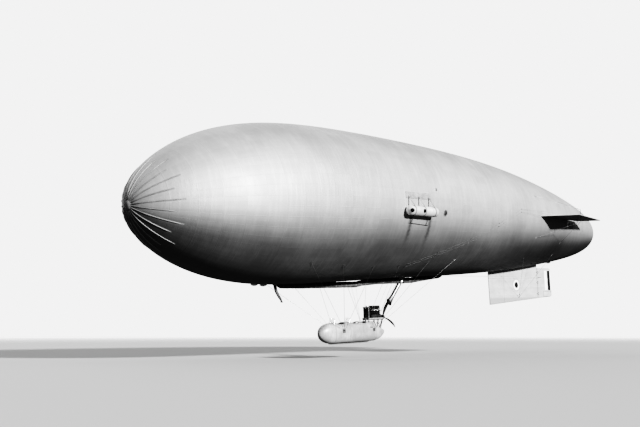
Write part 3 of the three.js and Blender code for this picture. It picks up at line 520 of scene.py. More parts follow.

# %% [markdown]
# ### Light
# The sun stood low and square to the port side: the shadow of the tail plane lies straight behind it.
# One sun with a wide disc gives that shadow a soft edge, and a sky that is bright above and dark below
# fills the rest. An area lamp could do the same, but would fall off along a ship 22 m long. Two weak,
# wide suns light the bow and the far side, which the photograph doesn't show. The plate was a contrasty
# one, which the view transform's look and gamma give, helped by painted shade low on the envelope and under
# the tail planes.

# %% Sun and sky
LAMPS = (
    # name, turn from port towards aft, height, strength, width of its disc
    ("sun", 3, 20, 6.5, 4),
    ("far_side_fill", 165, 24, 1.1, 70),
    ("bow_fill", -80, 35, 0.3, 50),
)
BACKDROP = 1.6
SKY = ((0.0, 0.24), (0.3, 0.1), (0.47, 0.1), (0.56, 0.13), (0.72, 0.34), (1.0, 0.52))  # height, brightness

for name, turn, height, strength, disc in LAMPS:
    turn, height = radians(turn), radians(height)
    level = cos(height)
    way = Vector((sin(turn) * level, -cos(turn) * level, sin(height)))
    lamp_data = bpy.data.lights.new(name, "SUN")
    lamp_data.energy = strength
    lamp_data.angle = radians(disc)
    lamp = bpy.data.objects.new(name, lamp_data)
    lamp.rotation_mode = "QUATERNION"
    lamp.rotation_quaternion = way.to_track_quat("Z", "Y")
    bpy.context.scene.collection.objects.link(lamp)

world = bpy.data.worlds.new("sky")
world.use_nodes = True
bpy.context.scene.world = world
sky_nodes = world.node_tree.nodes
background = sky_nodes["Background"]
height = split(put(background, "ShaderNodeTexCoord").outputs["Generated"])["Z"]
ramp = put(background, "ShaderNodeValToRGB", None, {0: faded(height, -1.0, 1.0)})
stops = ramp.color_ramp.elements
for position, brightness in SKY:
    stop = stops[0 if position == 0 else -1] if position in (0, 1) else stops.new(position)
    stop.color = grey(brightness)
join(ramp.outputs[0], background.inputs["Color"])
plain = put(background, "ShaderNodeBackground", None, {"Color": grey(BACKDROP)})
ray = put(background, "ShaderNodeLightPath").outputs
seen = sum_of("MAXIMUM", ray["Is Camera Ray"], ray["Is Transmission Ray"])
shaders = {0: seen, 1: background.outputs[0], 2: plain.outputs[0]}
choice = put(background, "ShaderNodeMixShader", None, shaders)
join(choice.outputs[0], sky_nodes["World Output"].inputs["Surface"])
view = bpy.context.scene.view_settings
view.view_transform = "AgX"
view.look = "AgX - Very High Contrast"
view.gamma = 0.54
view.exposure = 0.5
print("lamps:", [name for name, *_ in LAMPS])
# %% [markdown]
# ## The envelope
# The gas bag is a body of revolution bent into a slight arch: its centre line stands higher amidships
# than at the ends. A sphere could be sculpted into it, or a profile spun with a Screw modifier and bent
# with a Curve modifier. A formula is exact, and every later piece can ask it where the skin lies.

# %% The form of the envelope
LENGTH, RADIUS = 21.85, 2.286
LIFT_STATION = 9.6  # the origin, aft of the nose
BOW, SKEW = 0.4, 0.07
FULLNESS = (-0.208, 0.283, -0.478, -0.115, 0.526)
PORT, STARBOARD = -1, 1
SIDES = ((PORT, "port"), (STARBOARD, "starboard"))


def fullness(share):
    x = 2 * share - 1
    swell = sum(k * x ** (i + 1) for i, k in enumerate(FULLNESS))
    return sqrt(max(share * (1 - share), 0)) * exp(swell)


FULLEST = max(fullness(i / 400) for i in range(401))


def radius_at(station):
    return RADIUS * fullness(station / LENGTH) / FULLEST


def from_middle(station):
    return 2 * station / LENGTH - 1


def lean_at(station):
    """How far the ring at a station leans with the arch, in radians."""
    x = from_middle(station)
    return atan((2 / LENGTH) * (SKEW * (3 * x**2 - 1) - 2 * BOW * x))


def arch(station):
    x = from_middle(station)
    return BOW * (1 - x**2) + SKEW * (x**3 - x)


def centre_at(station):
    return arch(station) - arch(LIFT_STATION)


def x_at(station):
    return station - LIFT_STATION


def in_ring(station, across, up):
    """A point in the leaning ring at a station, `across` and `up` from its centre."""
    ring = min(max(station, 0), LENGTH)
    lean = lean_at(ring)
    return Vector((x_at(station) - up * sin(lean), across, centre_at(ring) + up * cos(lean)))


def on_skin(station, turn, out=0.0):
    """A point on the skin. The turn is in degrees: 0 at port, 90 on the crown, 180 at starboard."""
    r = radius_at(station) + out
    angle = radians(turn)
    return in_ring(station, -r * cos(angle), r * sin(angle))


def off_skin(station, turn):
    """The way straight out of the skin at a point."""
    ahead = on_skin(station + 0.01, turn) - on_skin(station - 0.01, turn)
    round_it = on_skin(station, turn + 0.5) - on_skin(station, turn - 0.5)
    return ahead.cross(round_it).normalized()


def skin_z(station, up):
    """Height of the skin on the centre plane, straight above or below a station."""
    ring = station
    for _ in range(5):
        ring = station + up * radius_at(ring) * sin(lean_at(ring))
    return in_ring(ring, 0, up * radius_at(ring)).z


print("fullest radius:", round(max(radius_at(LENGTH * i / 400) for i in range(401)), 3), "m")
print("straight out at port:", [round(c, 2) for c in off_skin(9.6, 0)])

# %% [markdown]
# ### Doped fabric
# The skin is rubbered cotton painted with aluminium dope. It is neither metal nor paint: in low sun it
# has a wide soft sheen, so the finish is half metallic and rough. Its UV map runs once along the ship and
# once round it. The seams of the panels and the streaks that run down the rings are read from that map.

# %% Envelope finish
GORES = 48
PANEL = 0.56  # between the ring seams
TANK_STATION = 8.435
STAIN_TURNS = (-40, -12)  # degrees round the hull that petrol has run down

dope, shader, place = new_finish("silver_dope", 0.66, 0.85, 0.5)
uv = put(place, "ShaderNodeUVMap").outputs[0]
parts = split(uv)
station_value = times(parts["X"], LENGTH)
turn_value = sum_of("SUBTRACT", times(parts["Y"], 360.0), 90.0)
ring_seams = seams(station_value, PANEL, 0.05)
gore_seams = seams(turn_value, 360 / GORES, 0.55)
flat_cloth = stretched(uv, (LENGTH, 2 * pi * RADIUS, 0))
weather = weathered(place, 1.4, (2.6, 0.5, 0.35))
cell = put(place, "ShaderNodeCombineXYZ", None, {0: ring_seams["Number"], 1: gore_seams["Number"]})
panel_tone = put(place, "ShaderNodeTexWhiteNoise", {"noise_dimensions": "2D"}, {"Vector": cell.outputs[0]})
lines = sum_of("MAXIMUM", ring_seams["Line"], gore_seams["Line"])
tapes = sum_of("MAXIMUM", ring_seams["Tape"], gore_seams["Tape"])


def off_by(value, amount):
    return sum_of("ABSOLUTE", sum_of("SUBTRACT", value, amount))


def unless(mask):
    return sum_of("SUBTRACT", 1.0, mask)


# Petrol stains: two runs under the tank, ragged at their sides and fading as they go down
ragged = noise_of(stretched(uv, (60, 40, 1)), 4.0)
run = plus(off_by(off_by(station_value, TANK_STATION + 0.14), 0.46), (ragged, 0.16))
down_from = faded(turn_value, STAIN_TURNS[0], STAIN_TURNS[0] + 18)
down_to = faded(turn_value, STAIN_TURNS[1] - 2, STAIN_TURNS[1], 1.0, 0.0)
stain = times(times(faded(run, 0.08, 0.22, 1.0, 0.0), times(down_from, down_to)), 0.55)

# The tone of each panel, less the petrol stains, less painted shade on the belly and less painted shade low
# on the sides of the tail
from_side = off_by(turn_value, 90.0)
# Painted shade: the colour darkens below the side, to 0.43 of its tone over the lower belly
belly_painted_shade = faded(from_side, 95.0, 130.0, 1.0, 0.43)
# Painted shade: the lower sides of the tail darken as well, by up to half
low_painted_shade = times(faded(from_side, 80.0, 125.0), faded(station_value, 11.0, 17.5, 0.0, 0.5))
marks = (weather["Blotches"], 0.05), (weather["Streaks"], 0.045), (panel_tone.outputs["Value"], 0.03)
tone = plus(0.5, *marks, (tapes, 0.03), (lines, -0.07))
for share in (unless(stain), belly_painted_shade, unless(low_painted_shade)):
    tone = times(tone, share)
rough = plus(0.65, (weather["Blotches"], 0.08), (stain, 0.15))
quilting = plus(ring_seams["Across"], gore_seams["Across"])
weave = woven(flat_cloth, 220.0)["Height"]
relief = plus(times(quilting, 1.2), tapes, (weather["Streaks"], 2.0), (weave, 0.15))
give(shader, grey_of(tone), rough, relief, 0.0012, 0.7)
print("finish:", dope.name)

# %% [markdown]
# ### Skin
# The solid in the frame has 48 flat gores. The piece that stands for it is fine enough to look round
# in every view, and its rows of points crowd together at the two ends, where the form turns quickly.

# %% Skin of the envelope
RINGS, AROUND = 220, 192
stations = [LENGTH * (1 - cos(pi * k / RINGS)) / 2 for k in range(1, RINGS)]
skin = Shape()
skin.add([in_ring(0, 0, 0)], [])
for station in stations:
    skin.add([on_skin(station, 360 * i / AROUND - 90) for i in range(AROUND)], [])
skin.add([in_ring(LENGTH, 0, 0)], [])
shares = [s / LENGTH for s in stations]
foot, last = 1, 1 + (len(stations) - 1) * AROUND
faces, uvs = [], []
for i in range(AROUND):
    j = (i + 1) % AROUND
    v0, v1 = i / AROUND, (i + 1) / AROUND
    faces.append((0, foot + j, foot + i))
    uvs += [(0.0, (v0 + v1) / 2), (shares[0], v1), (shares[0], v0)]
    for a, low, high in zip(range(foot, last, AROUND), shares, shares[1:]):
        faces.append((a + i, a + j, a + AROUND + j, a + AROUND + i))
        uvs += [(low, v0), (low, v1), (high, v1), (high, v0)]
    faces.append((last + i, last + j, len(skin.corners) - 1))
    uvs += [(shares[-1], v0), (shares[-1], v1), (1.0, (v0 + v1) / 2)]
skin.faces, skin.finish_of = faces, [0] * len(faces)
skin_mesh = skin.to_mesh("envelope_skin")
layer = skin_mesh.uv_layers.new(name="along_and_round")
layer.data.foreach_set("uv", [value for uv_pair in uvs for value in uv_pair])
reworked(skin_mesh, outwards)
set_up("envelope_skin", skin_mesh, "ship", [dope], ["envelope"], 0)
# %% [markdown]
# ## Nose battens
# The blunt nose is stiffened against the wind by a fan of wooden battens under doped strips, long and
# short ones in turn, which run out from a cap. Each is a tube with a low, rounded section that is laid
# along the skin, on a wide flat tape that would be sewn down on the real fabric.

# %% Batten cloth, cap canvas, and metals for fittings
batten_cloth = plain_finish("batten_cloth", (0.66, 0.8), 0.3, (0.36, 0.46), (0.0006, 0.5), 500.0)
cap_canvas = plain_finish("cap_canvas", (0.8, 0.05), 0.15, (0.2, 0.3), (0.0008, 0.6), 350.0)
bright_metal = plain_finish(
    "bright_metal", (0.3, 1.0), 0.25, (0.42, 0.66), (0.0005, 0.3), stretch=(3, 3, 0.3),
    worn=(0.6, 0.85), gloss=("Streaks", 0, 1, 0.28, 0.5),
)
dark_metal = plain_finish(
    "dark_metal", (0.45, 0.9), 0.12, (0.02, 0.06), (0.0008, 0.4),
    worn=(0.7, 0.35), gloss=("Speckle", 0.3, 0.7, 0.35, 0.65),
)
print("finishes:", batten_cloth.name, cap_canvas.name, bright_metal.name, dark_metal.name)

# %% Battens and cap
BATTENS = 24
BATTEN_LONG, BATTEN_SHORT, BATTEN_FROM = 0.88, 0.69, 0.012  # stations where they end and begin
BATTEN_HALF, BATTEN_HEIGHT, TAPE_HALF = 0.01, 0.013, 0.024
BATTEN_STEPS = 26
RIDGE = ((1, -0.15), (0.95, 0.5), (0.55, 0.92), (0, 1), (-0.55, 0.92), (-0.95, 0.5), (-1, -0.15))
TAPE = ((TAPE_HALF, -0.004), (TAPE_HALF, 0.002), (-TAPE_HALF, 0.002), (-TAPE_HALF, -0.004))
CAP = (
    # radius, distance ahead of the skin
    (0, -0.06), (0.15, -0.062), (0.15, -0.02), (0.145, -0.006),
    (0.11, 0.012), (0.07, 0.027), (0.06, 0.03), (0, 0.03),
)

nose = Shape()
for i in range(BATTENS):
    turn = 360 * i / BATTENS
    end = BATTEN_SHORT if i % 2 else BATTEN_LONG
    across = ACROSS * sin(radians(turn)) + UP * cos(radians(turn))
    ridge, tape = [], []
    for k in range(BATTEN_STEPS + 1):
        station = BATTEN_FROM + (end - BATTEN_FROM) * (k / BATTEN_STEPS) ** 1.8
        foot, out = on_skin(station, turn), off_skin(station, turn)
        slim = 1.0 if k < BATTEN_STEPS - 1 else 0.35
        half, height = BATTEN_HALF * slim, BATTEN_HEIGHT * slim
        ridge.append([foot + across * half * c + out * (height * s + 0.001) for c, s in RIDGE])
        tape.append([foot + across * w + out * h for w, h in TAPE])
    nose.rings(ridge)
    nose.rings(tape)
tip = in_ring(0, 0, 0)
nose.finish = 2
nose.turned(CAP, tip, -AFT, 48)
nose.finish = 1
for spoke in around(Vector(), 1, ACROSS, UP, 12, radians(7.5)):
    nose.bolt(tip + AFT * 0.007 + spoke * 0.128, spoke * 0.3 - AFT * 0.95, 0.006)
finishes = [batten_cloth, bright_metal, cap_canvas]
nose.make("nose_batten_fan", "ship", "batten_fabric", finishes, ["nose_battens"], 0, 50)

# %% [markdown]
# ## Valves, filling sleeve and ducts
# Gas and air valves are shallow domes on a bolted ring. They are turned shapes, which is what a lathe
# made of them. The filling sleeve is a limp tube of fabric, tied off when the gas bag is full, so it
# gets folds that deepen towards the tie. The ducts are soft tubes with hoops at even steps.

# %% Valves on the crown and under the belly
VALVE_ROWS = (
    # name, station, radius, crown or belly
    ("crown_gas_valve", 11.0, 0.13, 1),
    ("forward_air_valve", 3.98, 0.09, -1),
    ("second_air_valve", 4.3, 0.09, -1),
    ("aft_gas_valve", 18.85, 0.08, -1),
)
DOME = ((0.96, 0.026), (0.92, 0.034), (0.8, 0.04), (0.45, 0.052), (0.12, 0.0555), (0, 0.056))
for name, station, radius, up in VALVE_ROWS:
    at = Vector((x_at(station), 0, skin_z(station, up)))
    way = UP * up
    valve = Shape()
    rim = 1.12 * radius
    ring = [(0, -0.03), (rim, -0.03), (rim, 0.02), (rim - 0.006, 0.026)]
    valve.turned(ring + [(share * radius, rise) for share, rise in DOME], at, way, 40)
    for spot in around(at + way * 0.025, 1.04 * radius, AFT, ACROSS, 12):
        valve.bolt(spot, way, 0.0045)
    valve.make(name + "_fitting", "ship", "steel", [bright_metal], [name])

# %% Fabric of the ducts and the sleeve
duct_cloth, shader, place = new_finish("duct_cloth", 0.75, 0.15)
weave = woven(place, 300.0)
weather = weathered(place, 0.35, (1, 1, 0.3))
hoops = seams(split(place)["X"], 0.42, 0.05)
base = mixed(weather["Blotches"], 0.12, 0.22)
colour = mixed(times(hoops["Tape"], 0.5), base, 0.34)
give(shader, colour, None, plus(weave["Height"], (hoops["Tape"], 2.0)), 0.0012, 0.6)

# %% Ducts
DUCT_RADIUS = 0.09
JUNCTION_STATION, JUNCTION_DROP = 10.06, 0.185
DUCT_ROWS = {
    # station, depth of the lowest line under the belly
    "forward_duct": ((4.84, 0.084), (4.9, 0.105), (6.5, 0.155), (7.95, 0.21), (8.3, 0.175), (9.0, 0.16),
                     (9.8, 0.175), (JUNCTION_STATION, 0.18)),
    "aft_duct": ((JUNCTION_STATION, 0.18), (10.6, 0.185), (11.4, 0.12), (12.0, 0.084), (12.12, 0.06)),
}
HOOP_PITCH = 0.42
for name, rows in DUCT_ROWS.items():
    duct = Shape()
    length = rows[-1][0] - rows[0][0]
    steps = int(length / 0.035)
    rings = []
    for k in range(steps + 1):
        station = rows[0][0] + length * k / steps
        x = x_at(station)
        hoop = abs(((x / HOOP_PITCH + 0.5) % 1) - 0.5) * 2
        slack = 1 - 0.045 * sin(pi * hoop) ** 2
        end = min(1.0, 0.8 + 0.2 * min(k, steps - k) / 3)
        z = skin_z(station, -1) - between(rows, station)[0] + DUCT_RADIUS
        middle = Vector((x, 0, z - (1 - slack) * 0.02))
        ring = []
        for spoke in around(Vector(), 1, ACROSS, UP, 28):
            turn = atan2(spoke.z, spoke.y)
            crease = 0.003 * sin(5 * turn + 9 * x) * sin(pi * hoop)
            ring.append(middle + spoke * (DUCT_RADIUS * slack * end + crease))
        rings.append(ring)
    duct.rings(rings)
    duct.make(name + "_cloth", "ship", "duct_fabric", [duct_cloth], [name], 0, 60)

# %% Lacing that holds the ducts up
lacing = Shape()
for rows in DUCT_ROWS.values():
    station = rows[0][0] + 0.3
    while station < rows[-1][0] - 0.2:
        z = skin_z(station, -1) - between(rows, station)[0] + DUCT_RADIUS
        for side, _ in SIDES:
            foot = on_skin(station, 270 + side * -7.5, 0.002)
            grip = Vector((x_at(station), side * DUCT_RADIUS * 0.96, z - 0.02))
            lacing.tube([foot, grip], 0.0025, 6)
            lacing.disc(0.02, -0.004, 0.003, foot, off_skin(station, 270), 12)
        station += HOOP_PITCH
cord_cloth = plain_finish("cord_cloth", (0.85, 0.0), 0.2, (0.14, 0.3), (0.0006, 1.0), 900.0)
lacing.make("duct_lacing", "ship", "webbing", [cord_cloth])

# %% Filling sleeve
NECK_STATION = 4.725
SLEEVE_GIRTH, SLEEVE_FOLDS = 0.281, 7
SLEEVE = (
    # drop, aft, mean radius
    (-0.014, 0.0, 0.0447), (0.01, 0.0, 0.0447), (0.06, 0.01, 0.0435), (0.2, 0.055, 0.041),
    (0.35, 0.155, 0.036), (0.43, 0.215, 0.022), (0.45, 0.225, 0.015), (0.47, 0.236, 0.021), (0.5, 0.25, 0.03),
)
neck = Vector((x_at(NECK_STATION), 0, skin_z(NECK_STATION, -1)))


def pleated(radius, depth, phase, sides=98):
    ring = []
    for turn in even(0, 2 * pi, sides)[:-1]:
        r = radius + depth * sin(SLEEVE_FOLDS * turn + phase)
        swing = turn + 0.12 * depth / radius * sin(2 * SLEEVE_FOLDS * turn + phase)
        ring.append(Vector((r * cos(swing), r * sin(swing), 0)))
    return ring


def girth(ring):
    return sum((ring[i] - ring[i - 1]).length for i in range(len(ring)))


rings = []
for drop, aft, radius in smooth_path(SLEEVE, 10):
    least, most = 0.0, 0.6 * radius
    for _ in range(20):
        depth = (least + most) / 2
        if girth(pleated(radius, depth, 0)) < SLEEVE_GIRTH:
            least = depth
        else:
            most = depth
    rings.append([neck + Vector((aft, 0, -drop)) + p for p in pleated(radius, depth, 1.5 * drop)])
sleeve = Shape()
sleeve.rings(rings, caps=False)
limp = sleeve.make("filling_sleeve_cloth", "ship", "duct_fabric", [duct_cloth], ["filling_sleeve"], 0, 180)
thick = limp.modifiers.new("cloth thickness", "SOLIDIFY")
thick.thickness = 0.0015
thick.offset = -1

ring = Shape()
collar = [(0.047, -0.02), (0.068, -0.02), (0.068, 0.008), (0.064, 0.012), (0.05, 0.012), (0.047, 0.008)]
ring.turned(collar, neck, -UP, 40)
tie_at = neck + Vector((0.225, 0, -0.45))
for k in range(3):
    spot = tie_at + Vector((0.004 * k, 0, 0.006 - 0.006 * k))
    ring.tube(around(spot, 0.023, AFT, ACROSS, 20, closed=True), 0.0032, 6)
ring.make("filling_neck_ring", "ship", "steel", [bright_metal])

# %% [markdown]
# ## Air scoop
# Behind the propeller a slanting metal tube catches the wash and feeds the ducts. It was rolled from
# sheet and has a flared lip with a wired edge. A lofted tube with an inner wall gives it real thickness.

# %% Scoop tube with its lip and bands
SCOOP_RADIUS, SCOOP_WALL, SCOOP_NECK = 0.062, 0.004, 0.23
SCOOP_MOUTH = Vector((x_at(9.48), 0, -2.938))
LIP_LEAN = radians(29)
LIP_ROWS = (
    # along, half width, half height
    (0.0, 0.08, 0.118), (0.06, 0.071, 0.1), (0.15, 0.064, 0.076), (SCOOP_NECK, SCOOP_RADIUS, SCOOP_RADIUS),
)
junction_z = skin_z(JUNCTION_STATION, -1) - JUNCTION_DROP
scoop_top = Vector((x_at(JUNCTION_STATION), 0, junction_z + SCOOP_RADIUS))
scoop_way = (scoop_top - SCOOP_MOUTH).normalized()
scoop_up = Vector((-scoop_way.z, 0, scoop_way.x))
lip_up = Vector((-sin(LIP_LEAN), 0, cos(LIP_LEAN)))
scoop_length = (scoop_top - SCOOP_MOUTH).length


def scoop_ring(along, grow, sides=40):
    wide, tall = between(LIP_ROWS, along)
    share = min(along / SCOOP_NECK, 1.0)
    high = (lip_up * (1 - share) + scoop_up * share).normalized()
    ring = []
    for turn in even(0, 2 * pi, sides)[:-1]:
        side = ACROSS * (wide + grow) * sin(turn)
        ring.append(SCOOP_MOUTH + scoop_way * along + high * (tall + grow) * cos(turn) + side)
    return ring


scoop = Shape()
places = [scoop_length * (k / 40) ** 1.2 for k in range(41)]
outer = [scoop_ring(along, 0) for along in reversed(places)]
scoop.rings([*outer, *(scoop_ring(along, -SCOOP_WALL) for along in places)], caps=False)
lip = scoop_ring(0.0, -0.002)
scoop.tube([*lip, lip[0]], 0.005, 8)
for along in (0.26, 0.5, 0.74):
    strip = (-0.014, 0), (-0.014, 0.003), (0.014, 0.003), (0.014, 0)
    scoop.rings([scoop_ring(along * scoop_length + step, grow) for step, grow in strip], caps=False)
drum_top = skin_z(JUNCTION_STATION, -1) + 0.05 - junction_z
foot = [(0, 0), (0.119, 0), (0.125, 0.006), (0.125, 0.05)]
bead = [(0.128, 0.055), (0.128, 0.07), (0.125, 0.075), (0.125, drum_top), (0, drum_top)]
scoop.turned(foot + bead, (x_at(JUNCTION_STATION), 0, junction_z), UP, 48)
scoop.make("air_scoop_tube", "ship", "steel", [bright_metal], ["air_scoop"])
# %% [markdown]
# ## Tail planes
# Each plane is a light wooden frame with doped linen stretched over it. The cloth sinks a little between
# the ribs, and that soft ladder tells the eye that it is fabric and not plate. A Cloth simulation could
# sink it, but the amount is a few millimetres and has to stay inside the solid, so each flat outline is
# given round edges, cut into small cells, and pulled in between the ribs by a formula.

# %% Linen of the planes
RIB_PITCH = 0.28


def linen_finish(name, rib_axis, base):
    """Doped linen with tapes over the ribs, which follow each other along an axis of the piece."""
    material, shader, place = new_finish(name, 0.62, 0.15, 0.4)
    parts = split(place)
    ribs = seams(parts[rib_axis], RIB_PITCH, 0.05)
    weave = woven(stretched(place, (1, rib_axis == "Y", rib_axis == "Z")), 420.0)
    weather = weathered(place, 0.5, (0.4, 1, 1.5))
    stitched = times(ribs["Line"], seams(parts["X"], 0.04, 0.014)["Line"])
    marks = (weather["Blotches"], -0.07), (weather["Streaks"], -0.05), (ribs["Tape"], 0.04)
    tone = plus(base, *marks, (ribs["Line"], -0.05), (stitched, -0.2))
    give(shader, None, None, plus(times(ribs["Tape"], 1.5), stitched, (weave["Height"], 0.3)), 0.001, 0.6)
    return material, shader, parts, tone


def paint_over(tone, mask, paint):
    """A tone with paint on it wherever the mask is 1."""
    return plus(times(tone, unless(mask)), (mask, paint))


def within(value, low, high, soft=0.003):
    """A mask that is 1 between two values."""
    rise = faded(value, low - soft, low + soft)
    return times(rise, faded(value, high - soft, high + soft, 1.0, 0.0))


PLANE_Z = -0.074
plane_linen, shader, parts, tone = linen_finish("plane_linen", "Y", 0.62)
# Painted shade: the underside of each plane is darkened to 0.35 of its tone
underside_painted_shade = faded(parts["Z"], PLANE_Z - 0.006, PLANE_Z + 0.004, 0.35, 1.0)  # the underside
give(shader, grey_of(times(tone, underside_painted_shade)))

# The roundel: a dark disc in a white ring, then a last thin ring that is a little greyer than the cloth
ROUNDEL_X, ROUNDEL_Z = 6.98, -2.426
ROUNDEL = ((0.245, 0.5), (0.19, 0.9), (0.11, 0.02))  # outer radius and tone of each disc
fin_linen, shader, parts, tone = linen_finish("fin_linen", "Z", 0.6)
off_x, off_z = (sum_of("POWER", off_by(parts[c], at), 2.0) for c, at in (("X", ROUNDEL_X), ("Z", ROUNDEL_Z)))
out = sum_of("SQRT", plus(off_x, off_z))
tone = paint_over(tone, faded(parts["Z"], -2.93, -2.85, 1.0, 0.0), 0.42)
for radius, paint in ROUNDEL:
    tone = paint_over(tone, faded(out, radius - 0.003, radius + 0.003, 1.0, 0.0), paint)
give(shader, grey_of(plus(tone, (within(parts["X"], 6.17, 6.184), -0.2))))

# Rudder stripes: the lower the point, the farther aft, because the stripes follow the sloping edge
BAND_TOP, BAND_FOOT, BAND_LEAN = -1.89, -2.63, 0.018
BOX = (8.787, 9.335, -2.88, -2.66)  # a blank framed plate near the foot
rudder_linen, shader, parts, tone = linen_finish("rudder_linen", "Z", 0.6)
height = parts["Z"]
drop = times(sum_of("SUBTRACT", height, BAND_TOP), BAND_LEAN / (BAND_TOP - BAND_FOOT))
across = plus(parts["X"], drop)
tall = within(height, BAND_FOOT, BAND_TOP)
tone = paint_over(tone, times(tall, within(across, 8.9, 9.35)), 0.9)
tone = paint_over(tone, times(tall, within(across, 9.1, 9.285)), 0.02)
whole, inner = (
    times(within(parts["X"], BOX[0] + edge, BOX[1] - edge), within(height, BOX[2] + edge, BOX[3] - edge))
    for edge in (0, 0.018)
)
framed = sum_of("SUBTRACT", whole, inner)
give(shader, grey_of(plus(tone, (framed, -0.3), (within(parts["X"], 8.454, 8.466), -0.25))))
print("finishes:", plane_linen.name, fin_linen.name, rudder_linen.name)

# %% A function for a fabric plane
EDGE = ((1.0, 1.0), (0.55, 0.9), (0.22, 0.62), (0.05, 0.3), (0.0, 0.0))  # shares of half the thickness
CELL = 0.07
SAG = 0.006


def inset(outline, distance):
    """An outline moved inwards, edge by edge."""
    count = len(outline)
    area = sum(outline[i - 1][0] * outline[i][1] - outline[i][0] * outline[i - 1][1] for i in range(count))
    turn = 1 if area > 0 else -1
    moved = []
    for i in range(count):
        a, b, c = (Vector(outline[(i + k) % count]) for k in (-1, 0, 1))
        first, second = (b - a).normalized(), (c - b).normalized()
        bisector = turn * (Vector((-first.y, first.x)) + Vector((-second.y, second.x)))
        moved.append(b + bisector * distance / (bisector.dot(bisector) / 2))
    return moved


def from_edge(outline, x, y):
    """How far a point lies from the nearest edge of an outline."""
    nearest = 1e9
    for a, b in zip(outline, [*outline[1:], outline[0]]):
        a, b, p = Vector(a), Vector(b), Vector((x, y))
        share = min(max((p - a).dot(b - a) / (b - a).length_squared, 0), 1)
        nearest = min(nearest, (a + (b - a) * share - p).length)
    return nearest


def cloth_plane(node, body, outline, half, lay, first_rib, finish):
    """A fabric plane over ribs. lay turns (along, out, through) into a place in the frame."""
    worked = bmesh.new()
    rows = [*EDGE, *[(inwards, -share) for inwards, share in reversed(EDGE[:-1])]]
    loops = []
    for inwards, share in rows:
        loops.append([worked.verts.new((*p, share * half)) for p in inset(outline, inwards * half)])
    for low, high in zip(loops, loops[1:]):
        for i in range(len(outline)):
            worked.faces.new((low[i - 1], low[i], high[i], high[i - 1]))
    worked.faces.new(loops[0])
    worked.faces.new(list(reversed(loops[-1])))
    for axis, pitch in ((0, CELL), (1, RIB_PITCH / 6)):
        values = [p[axis] for p in outline]
        start = min(values)
        for k in range(1, int((max(values) - start) / pitch) + 1):
            spot, normal = Vector(), Vector()
            spot[axis], normal[axis] = start + k * pitch, 1
            everything = [*worked.verts, *worked.edges, *worked.faces]
            bmesh.ops.bisect_plane(worked, geom=everything, plane_co=spot, plane_no=normal)
    outwards(worked)
    for v in worked.verts:
        bay = (v.co.y - first_rib) / RIB_PITCH
        inwards = from_edge(outline, v.co.x, v.co.y)
        sag = SAG * sin(pi * bay) ** 2 * min(inwards / 0.15, 1)
        through = v.co.z
        if abs(through) > 0.5 * half:
            through -= copysign(sag, through)
        v.co = lay(v.co.x, v.co.y, through)
    mesh = bpy.data.meshes.new(node + "_cloth")
    worked.to_mesh(mesh)
    worked.free()
    set_up(node + "_cloth", mesh, body, [finish], [node], 50)


# %% Planes
FIXED_HALF, MOVING_HALF = 0.018, 0.015
STABILISER = ((15.5, 1.7), (15.625, 1.775), (16.475, 2.835), (17.991, 2.417), (17.991, 1.38), (15.5, 1.5))
ELEVATOR = ((18.009, 2.413), (19.315, 2.05), (18.68, 1.425), (18.009, 1.51))
FIN = ((14.835, -1.7), (14.885, -3.122), (17.991, -2.925), (17.991, -1.5))
RUDDER = ((18.009, -1.79), (18.86, -1.79), (18.96, -1.84), (18.96, -2.83), (18.9, -2.872), (18.009, -2.923))


def upright(station, z, through):
    return Vector((x_at(station), through, z))


for side, word in SIDES:
    def lay_flat(station, out, through, side=side):
        return Vector((x_at(station), side * out, PLANE_Z + through))

    cloth_plane(f"{word}_stabiliser", "ship", STABILISER, FIXED_HALF, lay_flat, 1.4, plane_linen)
    cloth_plane(f"{word}_elevator", f"{word}_elevator", ELEVATOR, MOVING_HALF, lay_flat, 1.4, plane_linen)
cloth_plane("lower_fin", "ship", FIN, FIXED_HALF, upright, -2.8, fin_linen)
cloth_plane("rudder", "rudder", RUDDER, MOVING_HALF, upright, -2.8, rudder_linen)

# %% [markdown]
# ### Fittings of the planes
# Hinges, kingposts and control horns are what a mechanic would look at first. Each hinge is a barrel
# with strap plates bolted over the cloth. The half that turns rides on the moving plane, so that the
# straps swing apart as the plane moves.

# %% Hinges, kingposts and horns
HINGE_X = x_at(18.0)
ELEVATOR_HINGES, RUDDER_HINGES = (1.64, 1.96, 2.28), (-1.95, -2.34, -2.76)
KNUCKLE_RADIUS, BARREL, STRAP = 0.0125, 0.03, 0.055
KINGPOST_X, KINGPOST_OUT, KINGPOST_REACH = x_at(16.85), 2.64, 0.205
HORN_AFT, HORN_REACH, HORN_RADIUS = 0.06, 0.15, 0.007
ELEVATOR_HORN_OUT, RUDDER_HORN_Z = 1.8, -2.15


def hinge(fixed, moving, at, axis, through):
    """A barrel on a pin, with two bolted straps on each side. through is the way through the planes."""
    turn = Matrix((AFT, axis, through)).transposed()
    r = KNUCKLE_RADIUS
    knuckle = [(0, 0), (0.8 * r, 0), (r, 0.002), (r, BARREL - 0.003), (0, BARREL - 0.001)]
    for k, shape, way in ((-1, moving, 1), (0, fixed, -1), (1, moving, 1)):
        middle = at + axis * k * BARREL
        shape.turned(knuckle, middle - axis * BARREL / 2, axis, 16)
        half = FIXED_HALF if way < 0 else MOVING_HALF
        for face in (-1, 1):
            plate = middle + AFT * way * (0.009 + STRAP / 2) + through * face * (half + 0.0004)
            shape.box((STRAP, BARREL * 0.8, 0.002), plate, turn)
            for step in (-0.014, 0.014):
                shape.bolt(plate + AFT * step + through * face * 0.001, through * face, 0.0035)
    for end in (-1, 1):
        pin = [(0, 0), (0.006, 0), (0.007, 0.002), (0.005, 0.005), (0, 0.005)]
        fixed.turned(pin, at + axis * end * BARREL * 1.5, axis * end, 10)


